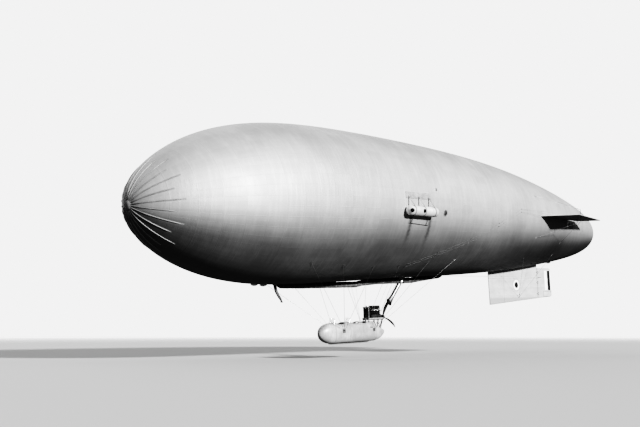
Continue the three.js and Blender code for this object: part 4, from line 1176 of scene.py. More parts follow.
def horn(shape, base, way, reach):
    """A tapered control horn with an eye at its tip and a bolted foot."""
    foot = [(0, 0), (0.019, 0), (0.019, 0.003), (HORN_RADIUS, 0.006), (HORN_RADIUS, 0.04)]
    shape.turned([*foot, (0.0045, reach - 0.012), (0, reach - 0.008)], base, way, 16)
    eye = base + way * (reach - 0.006)
    shape.tube(around(eye, 0.006, way, square_to(way)[0], 14, closed=True), 0.0018, 6)


for side, word in SIDES:
    fixed, moving = Shape(), Shape()
    for out in ELEVATOR_HINGES:
        hinge(fixed, moving, Vector((HINGE_X, side * out, PLANE_Z)), ACROSS, UP)
    for up in (-1, 1):
        base = Vector((HINGE_X + HORN_AFT, side * ELEVATOR_HORN_OUT, PLANE_Z + up * MOVING_HALF))
        horn(moving, base, UP * up, HORN_REACH - MOVING_HALF)
        post = Vector((KINGPOST_X, side * KINGPOST_OUT, PLANE_Z + up * FIXED_HALF))
        reach = KINGPOST_REACH - FIXED_HALF
        foot = [(0, 0), (0.024, 0), (0.024, 0.003), (0.009, 0.008), (0.009, 0.5 * reach)]
        top = [(0.0065, reach - 0.004), (0.009, reach - 0.002), (0.009, reach + 0.004), (0, reach + 0.006)]
        fixed.turned(foot + top, post, UP * up, 16)
        for spot in around(post + UP * up * 0.002, 0.018, AFT, ACROSS, 4, pi / 4):
            fixed.bolt(spot, UP * up, 0.003)
    fixed.make(f"{word}_stabiliser_fittings", "ship", "black_iron", [dark_metal])
    moving.make(f"{word}_elevator_fittings", f"{word}_elevator", "black_iron", [dark_metal])

fixed, moving = Shape(), Shape()
for z in RUDDER_HINGES:
    hinge(fixed, moving, Vector((HINGE_X, 0, z)), UP, ACROSS)
for side, _ in SIDES:
    base = Vector((HINGE_X + HORN_AFT, side * MOVING_HALF, RUDDER_HORN_Z))
    horn(moving, base, ACROSS * side, HORN_REACH - MOVING_HALF)
fixed.make("lower_fin_fittings", "ship", "black_iron", [dark_metal])
moving.make("rudder_fittings", "rudder", "black_iron", [dark_metal])
# %% [markdown]
# ## Wires and patches
# Loads go into the gas bag through doped patches. Each wire has a spliced loop at both ends, and a
# turnbuckle near the end that a rigger can reach takes up the slack. A wire could be a curve with a
# bevel, but a mesh tube lets the splice and the turnbuckle sit on the same line, so one function makes
# all of it.

# %% Finishes: wire, patch cloth and webbing
wire_metal, shader, place = new_finish("wire_metal", 0.4, 0.8)
inputs = {"Vector": place, "Scale": 160.0, "Distortion": 1.0}
lay = put(place, "ShaderNodeTexWave", {"bands_direction": "DIAGONAL"}, inputs).outputs["Fac"]
base = mixed(weathered(place, 0.3)["Blotches"], 0.3, 0.55)
give(shader, mixed(times(lay, 0.4), base, 0.15), None, lay, 0.0006, 0.7)

patch_cloth, shader, place = new_finish("patch_cloth", 0.66, 0.75)
base = mixed(weathered(place, 0.15)["Blotches"], 0.38, 0.5)
# Painted shade: patches low on the hull darken to 0.04, like the painted shade of the belly
low_painted_shade = faded(split(place)["Z"], -1.7, -0.7, 0.55, 0.0)  # as dark as the belly where it lies on the belly
give(shader, mixed(low_painted_shade, base, 0.04), None, woven(place, 350.0)["Height"], 0.0008, 0.6)

webbing_cloth, shader, place = new_finish("webbing_cloth", 0.8, 0.05)
weave = woven(place, 260.0)
base = mixed(weathered(place, 0.2)["Blotches"], 0.3, 0.45)
give(shader, mixed(times(weave["Slub"], 0.4), base, 0.16), None, weave["Height"], 0.0012, 0.8)

# %% Functions for patches and wires
def turn_of(side, height):
    """The turn round the hull of a place `height` degrees above its side."""
    return height if side == PORT else 180 - height


def skin_disc(shape, station, turn, radius, height, notches=0, sides=36):
    """A round patch that follows the skin, with a wavy edge if it has notches."""
    per_metre = degrees(1 / radius_at(station))
    rows = []
    domed = (1.0, -0.004), (1.0, 0.0015), (0.93, 0.0025), (0.6, 0.4 * height), (0.25, height), (0.01, height)
    for share, lift in domed:
        row = []
        for i in range(sides):
            a = 2 * pi * i / sides
            r = radius * share * (1 - (0.12 * abs(sin(notches * a / 2)) if notches else 0))
            row.append(on_skin(station + r * cos(a), turn + r * sin(a) * per_metre, lift))
        rows.append(row)
    shape.rings(rows)


def eye(shape, at, way, radius, wire):
    """A ring of wire round a point, in a plane that holds `way`."""
    shape.tube(around(at, radius, way, square_to(way)[0], 16, closed=True), wire, 6)


TURNBUCKLE = (
    # distance along it, share of the wire's radius
    (0, 1.0), (0.003, 1.8), (0.02, 1.8), (0.024, 2.4), (0.03, 2.6),
    (0.065, 2.6), (0.071, 2.4), (0.075, 1.8), (0.092, 1.8), (0.095, 1.0),
)


def rigging(shape, start, end, radius=0.003, turnbuckle=0.12):
    """A wire with a splice at each end, and a turnbuckle a little way from its start."""
    start, end = Vector(start), Vector(end)
    way = (end - start).normalized()
    length = (end - start).length
    rows = [(0, 0.3), (0.012, 1.7), (0.08, 1.6), (0.1, 1.0)]
    if turnbuckle and length > 0.5:
        rows += [(turnbuckle + step, share) for step, share in TURNBUCKLE]
    rows += [(length - 0.1, 1.0), (length - 0.08, 1.6), (length - 0.012, 1.7), (length, 0.3)]
    shape.tube([start + way * at for at, _ in rows], [radius * share for _, share in rows], 10)
    eye(shape, start + way * 0.008, way, 0.008, 0.002)
    eye(shape, end - way * 0.008, way, 0.008, 0.002)


# %% Stays of the tail planes
STAY_LUG = 0.007
PLANE_FEET = ((15.5, 24), (17.6, 30))  # station, degrees above or below the side
FIN_FEET = ((15.5, 52), (17.6, 50))
PATCH_FINISH, WIRE_FINISH, LUG_FINISH = 0, 1, 2
RIG_FINISHES = [patch_cloth, wire_metal, dark_metal]


def stay_set(name, node, start, feet, side, spread):
    shape = Shape()
    for station, height in feet:
        turn = turn_of(side, height)
        shape.finish = PATCH_FINISH
        skin_disc(shape, station, turn, 0.04, 0.005, 8)
        shape.finish = WIRE_FINISH
        rigging(shape, start, on_skin(station, turn, 0.005))
    shape.finish = LUG_FINISH
    shape.disc(spread, -0.007, 0.007, start, UP, 14)
    shape.disc(0.005, -0.011, 0.011, start, UP, 6)
    shape.make(name, "ship", "steel", RIG_FINISHES, [node])


for side, word in SIDES:
    for up, level in ((1, "upper"), (-1, "lower")):
        start = Vector((KINGPOST_X, side * KINGPOST_OUT, PLANE_Z + up * (KINGPOST_REACH + STAY_LUG)))
        feet = [(station, up * height) for station, height in PLANE_FEET]
        stay_set(f"{word}_{level}_stay_wires", f"{word}_{level}_stays", start, feet, side, 0.011)
    start = Vector((x_at(16.7), side * (FIXED_HALF + STAY_LUG), -2.88))
    feet = [(station, -height) for station, height in FIN_FEET]
    stay_set(f"{word}_fin_stay_wires", f"{word}_fin_stays", start, feet, side, 0.016)

# %% [markdown]
# ## Suspension
# The car hangs from fans of cables that spread its weight over the bag, from a bolted plate on its side
# to patches low on the hull. The patches match the skin's tone, painted shade of the belly included, as
# they do in the photograph, where they hardly show.

# %% Suspension fans
CAR_STATION, CAR_DATUM = 6.37, -3.8


def car_x(aft):
    return CAR_STATION - LIFT_STATION + aft


PLATE_LONG, PLATE_TALL = 0.06, 0.045  # half of each
PLATE_CORNERS = (
    # shares of the half length and the half height
    (1, -0.7), (1, 0.7), (0.75, 1), (-0.75, 1), (-1, 0.7), (-1, -0.7), (-0.75, -1), (0.75, -1),
)
FANS = (
    # name, plate aft of the car's nose, half width there, feet (station, degrees below the side)
    ("forward", 0.83, 0.227, ((4.7, 50), (6.05, 54), (7.43, 57))),
    ("aft", 2.15, 0.206, ((8.6, 57), (9.9, 54), (11.2, 50))),
)
for side, word in SIDES:
    for fan, aft, half, feet in FANS:
        shape = Shape()
        x = car_x(aft)
        shape.finish = LUG_FINISH
        middle = Vector((x, side * half, CAR_DATUM + 0.04))
        shape.rings([
            [middle + Vector((PLATE_LONG * c, side * out, PLATE_TALL * s)) for c, s in PLATE_CORNERS]
            for out in (-0.012, 0.006)
        ])
        for dx, dz in ((-0.045, -0.028), (0.045, -0.028), (-0.045, 0.028), (0.045, 0.028)):
            shape.bolt(middle + Vector((dx, side * 0.006, dz)), (0, side, 0), 0.006)
        start = Vector((x, side * (half + 0.02), CAR_DATUM + 0.07))
        shape.disc(0.008, -0.03, 0.03, start, AFT, 12)
        for k in (-1, 1):
            shape.disc(0.018, -0.004, 0.004, middle + Vector((k * 0.022, side * 0.012, 0.03)), AFT, 18)
        for k, (station, below) in enumerate(feet):
            turn = turn_of(side, -below)
            shape.finish = PATCH_FINISH
            skin_disc(shape, station, turn, 0.07, 0.006, 10)
            shape.finish = WIRE_FINISH
            rigging(shape, start + AFT * 0.012 * (k - 1), on_skin(station, turn, 0.006), 0.003, 0.16)
        shape.make(f"{word}_{fan}_cables", "ship", "steel", RIG_FINISHES, [f"{word}_{fan}_suspension"])

# %% [markdown]
# ## Petrol tanks
# The tanks are soldered drums of bright sheet. A turned profile gives the drum; its real look comes from
# the swaged beads, the lap seam and the caps, which are added to the profile and along it. Each drum
# hangs in webbing bands that are sewn to a long doped patch.

# %% Tank finish
tank_paint = plain_finish(
    "tank_paint", (0.35, 0.25), 0.35, (0.74, 0.86), (0.0008, 0.35), stretch=(4, 4, 0.4),
    streak=(0.35, 0.3), worn=(0.5, 0.45), gloss=("Streaks", 0, 1, 0.32, 0.6),
)
# Black paint for the tank caps; the same finish is painted shade in the hull windows
black_paint_and_window_shade = plain_finish("black_paint_and_window_shade", (0.7, 0.0, 0.2), 0.04, (0.006, 0.02), (0.0004, 0.3))
print("finishes:", tank_paint.name, black_paint_and_window_shade.name)

# %% Where the tanks lie
TANK_LENGTH, TANK_RADIUS, TANK_BELOW, TANK_OFF = 1.34, 0.143, 8, 0.01
half = TANK_LENGTH / 2
taper = atan((radius_at(TANK_STATION + half / 2) - radius_at(TANK_STATION - half / 2)) / half)


def tank_place(side):
    """The centre of a tank, the way along it and the way out of it."""
    centre = on_skin(TANK_STATION, turn_of(side, -TANK_BELOW), TANK_RADIUS + TANK_OFF)
    axis = Vector((cos(taper), side * sin(taper), 0))
    return centre, axis, (ACROSS * side - axis * axis.y * side).normalized()


print("tank:", [round(c, 3) for c in tank_place(PORT)[0]])

# %% A tank
TANK_END = (
    # share of the radius, distance from the end
    (0, 0.01), (0.1, 0.0), (0.25, 0.002), (0.4, 0.008), (0.6, 0.02),
    (0.77, 0.032), (0.9, 0.05), (0.97, 0.066), (1, 0.08),
)
BEAD = ((-0.008, 0), (-0.004, 0.0012), (0, 0.0018), (0.004, 0.0012), (0.008, 0))  # along, proud
CAPS = ((-0.628, 0.124, 0.75, -0.1), (-0.08, 0.139, 0.0, -0.05))  # along, out, how far it faces ahead and up
CAP_RADIUS = 0.058
CAP_PROFILE = ((0, -0.012), (1, -0.012), (1, 0.006), (0.76, 0.008), (0.76, 0.015), (0, 0.017))
DRAIN = ((0, 0), (0.012, 0), (0.012, 0.008), (0.007, 0.01), (0.007, 0.024), (0, 0.024))
TANK_FINISHES = [tank_paint, dark_metal, black_paint_and_window_shade]


def tank_drum(side, word):
    """A drum with its beads, its lap seam, two caps and a drain."""
    centre, axis, outward = tank_place(side)
    tank = Shape()
    profile = [(share * TANK_RADIUS, along - half) for share, along in TANK_END]
    for bead in (-0.3, 0.3):
        profile += [(TANK_RADIUS + lift, bead + step) for step, lift in BEAD]
    profile += [(share * TANK_RADIUS, half - along) for share, along in reversed(TANK_END)]
    tank.turned(profile, centre, axis, 64)
    lap = centre + (outward * -0.5 + UP * 0.86).normalized() * (TANK_RADIUS - 0.0005)
    tank.tube([lap + axis * along for along in (-half + 0.09, half - 0.09)], 0.0025, 6)
    tank.finish = 2
    for along, out, ahead, high in CAPS:
        way = (outward - axis * ahead + UP * high).normalized()
        square = (axis - way * axis.dot(way)).normalized()
        at = centre + axis * along + (outward + UP * high).normalized() * out
        tank.turned([(share * CAP_RADIUS, lift) for share, lift in CAP_PROFILE], at, way, 28)
        grip = Matrix((square, way.cross(square), way)).transposed()
        tank.box((1.05 * CAP_RADIUS, 0.007, 0.007), at + way * 0.018, grip)
    tank.finish = 1
    tank.turned(DRAIN, centre + axis * 0.25 - UP * (TANK_RADIUS - 0.003), -UP, 12)
    tank.make(f"{word}_tank_drum", "ship", "tank_metal", TANK_FINISHES, [f"{word}_petrol_tank"], 0, 40)


# %% The sling of a tank
BAND_PLACES = (-0.47, 0, 0.47)
BAND_WIDE, BAND_THICK = 0.04, 0.0054
BAND = (
    # share of the width, share of the thickness
    (-0.5, 0.0004), (-0.5, 0.9), (-0.44, 1.0), (0.44, 1.0), (0.5, 0.9), (0.5, 0.0004),
)
STRAP_EDGE = ((1, -0.6), (1, 0.6), (0.92, 1), (-0.92, 1), (-1, 0.6), (-1, -0.6), (-0.92, -1), (0.92, -1))
PATCH_HALF, PATCH_LOW, PATCH_STRAP, PATCH_HIGH, PATCH_PROUD = 0.6, 9, 11, 14, 0.008
SLING_FINISHES = [webbing_cloth, dark_metal, patch_cloth]


def tank_sling(side, word):
    """Three bands round a tank, their straps and buckles, and the patch that they are sewn to."""
    centre, axis, outward = tank_place(side)
    sling = Shape()
    for offset in BAND_PLACES:
        hub = centre + axis * offset
        rows = []
        for along, lift in BAND:
            r = TANK_RADIUS + max(lift * BAND_THICK, 0.0008)
            rows.append(around(hub + axis * along * BAND_WIDE, r, outward, axis.cross(outward), 64))
        sling.rings(rows, caps=False)
        high = on_skin(TANK_STATION + offset, turn_of(side, PATCH_STRAP - TANK_BELOW), 0.002)
        spoke = high - hub
        wrap = TANK_RADIUS + 0.003
        opening = atan2(spoke.z, side * spoke.y) - acos(wrap / hypot(spoke.y, spoke.z))
        leaves = hub + Vector((0, side * wrap * cos(opening), wrap * sin(opening)))
        high.x = leaves.x
        along = (leaves - high).normalized()
        square = along.cross(AFT)
        sling.rings([
            [at + AFT * w * BAND_WIDE / 2 + square * t * 0.0026 for w, t in STRAP_EDGE]
            for at in even(high - along * 0.015, leaves + along * 0.01, 8)
        ])
        buckle = high + along * 0.05 + square * 0.003
        sling.finish = 1
        corners = ((-1, -1), (1, -1), (1, 1), (-1, 1), (-1, -1))
        sling.tube([buckle + AFT * a * 0.026 + along * b * 0.014 for a, b in corners], 0.0025, 6)
        sling.finish = 0
    sling.finish = 2
    rows = []
    for above, out in (
        (PATCH_HIGH, -0.02), (PATCH_HIGH, 0.006), (PATCH_HIGH - 0.15, PATCH_PROUD),
        (PATCH_LOW + 0.15, PATCH_PROUD), (PATCH_LOW, 0.006), (PATCH_LOW, -0.02),
    ):
        turn = turn_of(side, above - TANK_BELOW)
        rows.append([on_skin(TANK_STATION + PATCH_HALF * (k / 20 - 1), turn, out) for k in range(41)])
    sling.rings(rows, caps=False, closed=False)
    for end in (0, -1):
        sling.add([row[end] for row in rows], [tuple(range(len(rows)))])
    sling.make(f"{word}_sling_bands", "ship", "webbing", SLING_FINISHES, [f"{word}_tank_sling"], 0, 45)


# %% Tanks and slings
for side, word in SIDES:
    tank_drum(side, word)
    tank_sling(side, word)

# %% Two round ports and a petrol pipe beside each tank
PORTS = ((9.751, -7.95, 0.07), (9.344, 10.1, 0.034))  # station, height in degrees, radius of the dark part
for side, word in SIDES:
    shape = Shape()
    for station, height, radius in PORTS:
        turn = turn_of(side, height)
        at, way = on_skin(station, turn, -0.002), off_skin(station, turn)
        inner, outer = 1.02 * radius, 1.25 * radius
        shape.finish = 0
        skin_disc(shape, station, turn, 1.8 * radius, 0.003)
        shape.finish = 1
        shape.turned([(inner, 0), (outer, 0), (outer, 0.008), (inner, 0.01)], at, way, 32)
        # The window is an opaque black disc: painted shade for the dark inside of the envelope
        shape.finish = 2
        shape.turned([(0, 0), (1.03 * radius, 0), (1.03 * radius, 0.006), (0, 0.007)], at, way, 32)
    shape.make(f"{word}_hull_ports", "ship", "celluloid", [patch_cloth, bright_metal, black_paint_and_window_shade])
    feed = Shape()
    line = [on_skin(8.02 + 0.093 * k, turn_of(side, -17.2 - 0.14 * k), 0.012) for k in range(11)]
    feed.tube(line, 0.008, 10)
    for at, turn in ((8.11, -17.35), (8.86, -18.4)):
        rising = (turn, 0.012), (-16, 0.03), (-13.2, 0.08)
        places = [on_skin(at, turn_of(side, height), out) for height, out in rising]
        feed.tube(smooth_path(places, 6), 0.007, 10)
    feed.finish = 1
    for at in (8.3, 8.6):
        clip, way = on_skin(at, turn_of(side, -17.2 - 1.5 * (at - 8.02))), off_skin(at, turn_of(side, -17.6))
        feed.turned([(0, 0), (0.02, 0), (0.018, 0.006), (0, 0.007)], clip, way, 14)
    feed.make(f"{word}_petrol_pipe", "ship", "brass", [dark_metal, patch_cloth])
# %% [markdown]
# ## The car
# The car is a boat-shaped shell of painted ply on light formers. The solid is lofted through twelve
# sections with sixteen flats. A Subdivision modifier would round the flats but shrink the form, so the
# same table of sections is read as smooth curves instead, and each plate is a stretch of that surface
# with a real wall. A lap and a row of tacks hide each join, as on the real craft.

# %% Finishes of the car
car_skin, shader, place = new_finish("car_skin", 0.5, 0.1)
parts = split(place)
laps = seams(parts["X"], 0.35, 0.03)
tacks = times(laps["Line"], seams(parts["Z"], 0.022, 0.012)["Line"])
weather = weathered(place, 0.3, (2, 2, 0.3))
splash = faded(parts["Z"], -4.1, -3.85, 0.35, 0.0)
colour = mixed(weather["Blotches"], 0.42, 0.58)
for share, tone in (
    (times(weather["Streaks"], 0.3), 0.25),
    (times(splash, weather["Speckle"]), 0.12),
    (times(laps["Line"], 0.25), 0.2),
    (worn_edges(place, 0.5), 0.3),
):
    colour = mixed(share, colour, tone)
relief = plus(laps["Tape"], (tacks, 1.5), (weather["Speckle"], 0.5))
give(shader, colour, faded(weather["Blotches"], 0, 1, 0.42, 0.62), relief, 0.0012, 0.6)

wood, shader, place = new_finish("ash_wood", 0.45, 0.0)
along = stretched(place, (0.6, 5, 5))
inputs = {"Vector": along, "Scale": 7.0, "Distortion": 7.0, "Detail": 4.0, "Detail Scale": 1.5}
grain = put(place, "ShaderNodeTexWave", {"bands_direction": "Z"}, inputs).outputs["Fac"]
pores = noise_of(stretched(place, (12, 300, 300)), 1.0, 3)
figure = plus(times(grain, 0.7), (pores, 0.4))
colour = mixed(worn_edges(place, 0.6), mixed(figure, 0.16, 0.34), 0.45)
give(shader, colour, faded(pores, 0.3, 0.7, 0.35, 0.6), figure, 0.0006, 0.5)

hide, shader, place = new_finish("brown_hide", 0.5, 0.0, 0.5)
inputs = {"Vector": place, "Scale": 420.0}
cells = put(place, "ShaderNodeTexVoronoi", {"feature": "F1"}, inputs).outputs["Distance"]
blotches = weathered(place, 0.08)["Blotches"]
colour = mixed(worn_edges(place, 0.5), mixed(blotches, 0.17, 0.28), 0.42)
give(shader, colour, faded(blotches, 0, 1, 0.4, 0.65), cells, 0.0005, 0.6)

brass = plain_finish(
    "brass", (0.3, 1.0), 0.06, (0.22, 0.42), (0.0004, 0.3),
    worn=(0.8, 0.7), gloss=("Speckle", 0.3, 0.7, 0.22, 0.45),
)
smeared = "Streaks", 0, 1, 0.06, 0.22
film = plain_finish("clear_film", (0.08, 0.0), 0.1, (0.86, 0.95), (0.0003, 0.2), gloss=smeared)
film_shader = film.node_tree.nodes["Principled BSDF"]
film_shader.inputs["Transmission Weight"].default_value = 0.92
film_shader.inputs["IOR"].default_value = 1.45
print("finishes:", car_skin.name, wood.name, hide.name, brass.name, film.name)

# %% The form of the car
CAR_SECTIONS = (
    # aft of the nose, half width, deck above the datum, keel below it
    (0.0, 0.014, 0.014, 0.016), (0.03, 0.078, 0.101, 0.103), (0.1, 0.136, 0.178, 0.182),
    (0.22, 0.186, 0.246, 0.251), (0.36, 0.214, 0.285, 0.291), (0.52, 0.225, 0.297, 0.303),
    (1.2, 0.23, 0.297, 0.303), (1.9, 0.222, 0.297, 0.303), (2.29, 0.196, 0.29, 0.29),
    (2.39, 0.182, 0.17, 0.276), (2.6, 0.132, 0.09, 0.212), (2.73, 0.092, 0.03, 0.12),
)
CAR_END = CAR_SECTIONS[-1][0]
SQUARENESS = 2.5
CAR_WALL = 0.01
BOW_JOIN, TAIL_JOIN, DECK_EDGE = 0.52, 2.27, 0.225


def eased(a, b):
    """A slope between two others, and level where they differ in sign."""
    return 2 * a * b / (a + b) if a * b > 0 else 0


def section_at(aft):
    """Half width, deck and keel of the car, from a curve that never swings past the table's rows."""
    rows = CAR_SECTIONS
    k = max(i for i in range(len(rows) - 1) if rows[i][0] <= max(aft, 0))
    a, b = rows[k], rows[k + 1]
    step = b[0] - a[0]
    t = min((aft - a[0]) / step, 1)
    values = []
    for c in (1, 2, 3):
        slope = (b[c] - a[c]) / step
        low, high = 1.6 * slope, slope
        if k:
            low = eased((a[c] - rows[k - 1][c]) / (a[0] - rows[k - 1][0]), slope)
        if k + 2 < len(rows):
            high = eased((rows[k + 2][c] - b[c]) / (rows[k + 2][0] - b[0]), slope)
        values.append(
            a[c] * (2 * t**3 - 3 * t**2 + 1) + b[c] * (3 * t**2 - 2 * t**3)
            + step * (low * (t**3 - 2 * t**2 + t) + high * (t**3 - t**2))
        )
    return values


def squared(share):
    """How far out a section reaches at a share of its height, or how high at a share of its width."""
    return (1 - min(abs(share), 1) ** SQUARENESS) ** (1 / SQUARENESS)


def car_point(aft, angle, grow=0.0):
    """A point on the car's skin. The angle is 0 at starboard and pi / 2 on the deck."""
    wide, deck, keel = section_at(aft)
    c, s = cos(angle), sin(angle)
    power = 2 / SQUARENESS
    y = (wide + grow) * copysign(abs(c) ** power, c)
    z = ((deck if s > 0 else keel) + grow) * copysign(abs(s) ** power, s)
    return Vector((car_x(aft), y, CAR_DATUM + z))


def deck_z(aft, out):
    wide, deck, _ = section_at(aft)
    return CAR_DATUM + deck * squared(out / wide)


def deck_angle(aft):
    deck = section_at(aft)[1]
    return asin(min(DECK_EDGE / deck, 1) ** (SQUARENESS / 2))


def walled(shape, stations, angles_at):
    """A stretch of the shell with an outer and an inner face, between two angles."""
    rows = []
    for aft in stations:
        angles = angles_at(aft)
        inner = [car_point(aft, a, -CAR_WALL) for a in reversed(angles)]
        rows.append([car_point(aft, a) for a in angles] + inner)
    shape.rings(rows)


def band(shape, start, end, low, high, angles, closed=True):
    """A strip round the shell between two stations and two heights over its skin."""
    corners = (start, low), (start, high), (end, high), (end, low)
    rows = [[car_point(aft, a, lift) for a in angles] for aft, lift in corners]
    shape.rings(rows, caps=False, closed=closed)


# %% Bow, hull and tail
LAP = -0.001, 0.0015
AROUND_CAR = even(0, 2 * pi, 96)[:-1]


def hull_angles(aft, count=72):
    return even(-pi - deck_angle(aft), deck_angle(aft), count)


bow = Shape()
stations = [BOW_JOIN * (k / 40) ** 1.7 for k in range(41)]
rows = [[car_point(aft, a) for a in AROUND_CAR] for aft in stations]
inner_rows = [[car_point(aft, a, -CAR_WALL) for a in AROUND_CAR] for aft in reversed(stations) if aft > 0.04]
bow.rings([*rows, *inner_rows])
band(bow, 0.49, BOW_JOIN, *LAP, AROUND_CAR)
bow.finish = 1
bow.disc(0.013, 0, 0.004, car_point(0.0, 0) + Vector((0.001, -0.014, 0)), -AFT, 16)
bow.make("car_bow_shell", "ship", "car_paint", [car_skin, dark_metal], ["car_bow"], 0, 40)

hull = Shape()
walled(hull, even(BOW_JOIN + 0.0005, TAIL_JOIN, 50), hull_angles)
for aft in (1.12, 1.68):
    band(hull, aft - 0.012, aft + 0.012, *LAP, hull_angles(aft - 0.012, 60), closed=False)
hull.make("car_hull_shell", "ship", "car_paint", [car_skin], ["car_hull"], 0, 40)

tail = Shape()
rows = [[car_point(aft, a) for a in AROUND_CAR] for aft in even(TAIL_JOIN + 0.0005, CAR_END, 36)]
for back, shrink in ((0.004, 0.004), (0.005, 0.02)):
    rows.append([car_point(CAR_END, a, -shrink) + AFT * back for a in AROUND_CAR])
tail.rings(rows)
band(tail, TAIL_JOIN, 2.3, *LAP, AROUND_CAR)
tail.make("car_tail_shell", "ship", "car_paint", [car_skin], ["car_tail"], 0, 40)

# %% [markdown]
# ### Deck with three cockpits
# Holes in a curved plate are where booleans pay off: the deck is made whole, and a rounded block is cut
# out of it for each cockpit. The result is kept as a plain mesh, so that nothing is left to evaluate.

# %% Deck
COCKPITS = {
    # from, to, half width
    "front": (0.58, 0.98, 0.145),
    "pilot": (1.21, 1.59, 0.145),
    "engineer": (1.64, 1.93, 0.14),
}
CORNER = 0.11


def cockpit_outline(name, grow, steps=10):
    """The rounded opening seen from above, as (aft, out) pairs."""
    start, end, half = COCKPITS[name]
    a, b, w = start - grow, end + grow, half + grow
    r = CORNER + grow
    line = []
    for quarter, (aft, out) in enumerate(((b - r, w - r), (a + r, w - r), (a + r, r - w), (b - r, r - w))):
        for t in even(pi / 2 * quarter, pi / 2 * (quarter + 1), steps):
            line.append((aft + r * cos(t), out + r * sin(t)))
    return line


def as_drawn(piece):
    """The mesh of a piece with its modifiers worked out."""
    return bpy.data.meshes.new_from_object(piece.evaluated_get(bpy.context.evaluated_depsgraph_get()))


deck = Shape()
stations = even(BOW_JOIN + 0.0005, TAIL_JOIN, 70)
walled(deck, stations, lambda aft: even(deck_angle(aft) + 0.004, pi - deck_angle(aft) - 0.004, 48))
deck_piece = deck.make("car_deck_shell", "ship", "car_paint", [car_skin], ["car_deck"])
cutters = []
for name in COCKPITS:
    cutter = Shape()
    outline = cockpit_outline(name, 0)
    cutter.rings([[Vector((car_x(a), o, CAR_DATUM + level)) for a, o in outline] for level in (0.1, 0.4)])
    block = bpy.data.objects.new(name + "_cutter", cutter.to_mesh(name + "_cutter"))
    bpy.context.scene.collection.objects.link(block)
    opening = deck_piece.modifiers.new("opening", "BOOLEAN")
    opening.operation = "DIFFERENCE"
    opening.object = block
    opening.solver = "EXACT"
    cutters.append(block)
cut_mesh = as_drawn(deck_piece)
deck_piece.modifiers.clear()
deck_piece.data = cut_mesh
for block in cutters:
    bpy.data.objects.remove(block)
cut_mesh.shade_smooth()
cut_mesh.set_sharp_from_angle(angle=radians(40))
print("deck:", len(cut_mesh.polygons), "faces")

edging = Shape()
for side in (1, -1):
    def on_edge(aft, lift):
        angle = deck_angle(aft)
        return car_point(aft, angle if side == 1 else pi - angle, lift)

    edging.tube([on_edge(aft, 0.0005) for aft in even(BOW_JOIN, TAIL_JOIN, 60)], 0.004, 8)
    for aft in even(BOW_JOIN + 0.02, TAIL_JOIN - 0.02, 42):
        edging.rivet(0.0035, 0.0025, 0.0015, 0.002, on_edge(aft, 0.003), (0, 0.6 * side, 0.8))
edging.make("car_deck_beading", "ship", "ash_wood", [wood])

# %% Formers and floor inside the car
inside = Shape()
for aft in (0.7, 0.9, 1.08, 1.3, 1.5, 1.62, 1.8, 2.0, 2.15):
    band(inside, aft - 0.006, aft + 0.006, -CAR_WALL, -0.024, even(-pi - 0.5, 0.5, 40), closed=False)
for level in (-0.1, 0.08):
    for side in (-1, 1):
        path = []
        for aft in even(0.6, 2.2, 30):
            wide, deck_high, keel = section_at(aft)
            tall = (deck_high if level > 0 else keel) - CAR_WALL
            path.append((car_x(aft), side * (wide - 0.016) * squared(level / tall), CAR_DATUM + level))
        inside.tube(path, 0.007, 6)
for out in even(-0.11, 0.11, 4):
    inside.box((1.55, 0.05, 0.008), (car_x(1.36), out, CAR_DATUM - 0.245))
inside.make("car_formers", "ship", "ash_wood", [wood])

# %% [markdown]
# ## Padded edges and seats
# The coamings are leather rolls laced round the openings, and each seat has a sewn cushion and a back.
# The cushions are made by Cloth: a flat bag is remeshed into small even faces and blown up a little
# while the sewn lines stay pinned, which gives the pulled-in sides and the folds that code would miss.
# Every point may move only a few millimetres, so that the seams stay where they were sewn.

# %% Coamings
for name in COCKPITS:
    roll = Shape()
    outline = cockpit_outline(name, 0.0085, 14)
    count = len(outline)
    rows = []
    for i in range(count):
        (a0, o0), (a1, o1), (a2, o2) = outline[i - 1], outline[i], outline[(i + 1) % count]
        along = Vector((a2 - a0, o2 - o0)).normalized()
        here = Vector((car_x(a1), o1, deck_z(a1, o1)))
        farther = (a1 + along.y * 0.01, o1 - along.x * 0.01)
        slope = (Vector((car_x(farther[0]), farther[1], deck_z(*farther))) - here).normalized()
        rise = (deck_z(a2, o2) - deck_z(a0, o0)) / hypot(a2 - a0, o2 - o0)
        lift = slope.cross(Vector((*along, rise))).normalized()
        lift *= 1 if lift.z > 0 else -1
        pucker = 1 - 0.07 * (0.5 + 0.5 * cos(2 * pi * i / count * 42))
        row = []
        for t in even(0, 2 * pi, 18)[:-1]:
            tall = (0.0118 * pucker if sin(t) > 0 else 0.006) * sin(t)
            row.append(here + slope * 0.0112 * pucker * cos(t) + lift * (tall + 0.003))
        rows.append(row)
    roll.rings([*rows, rows[0]], caps=False)
    piece = roll.make(f"{name}_coaming_roll", "ship", "leather", [hide], [f"{name}_coaming"], 0, 180)
    reworked(piece.data, lambda worked: bmesh.ops.remove_doubles(worked, verts=worked.verts, dist=1e-6))
    lace = Shape()
    for row in rows[::2]:
        lace.tube([p + (p - (row[0] + row[9]) / 2) * 0.06 for p in row[:10]], 0.0011, 5)
    lace.make(f"{name}_coaming_lacing", "ship", "webbing", [cord_cloth])

# %% A stuffed pad from a Cloth simulation
VOXEL, PRESSURE, FRAMES = 0.006, 4.0, 20
MOST_MOVE = 0.008
CHANNEL_DEEP, CHANNEL_WIDE = 0.004, 0.006


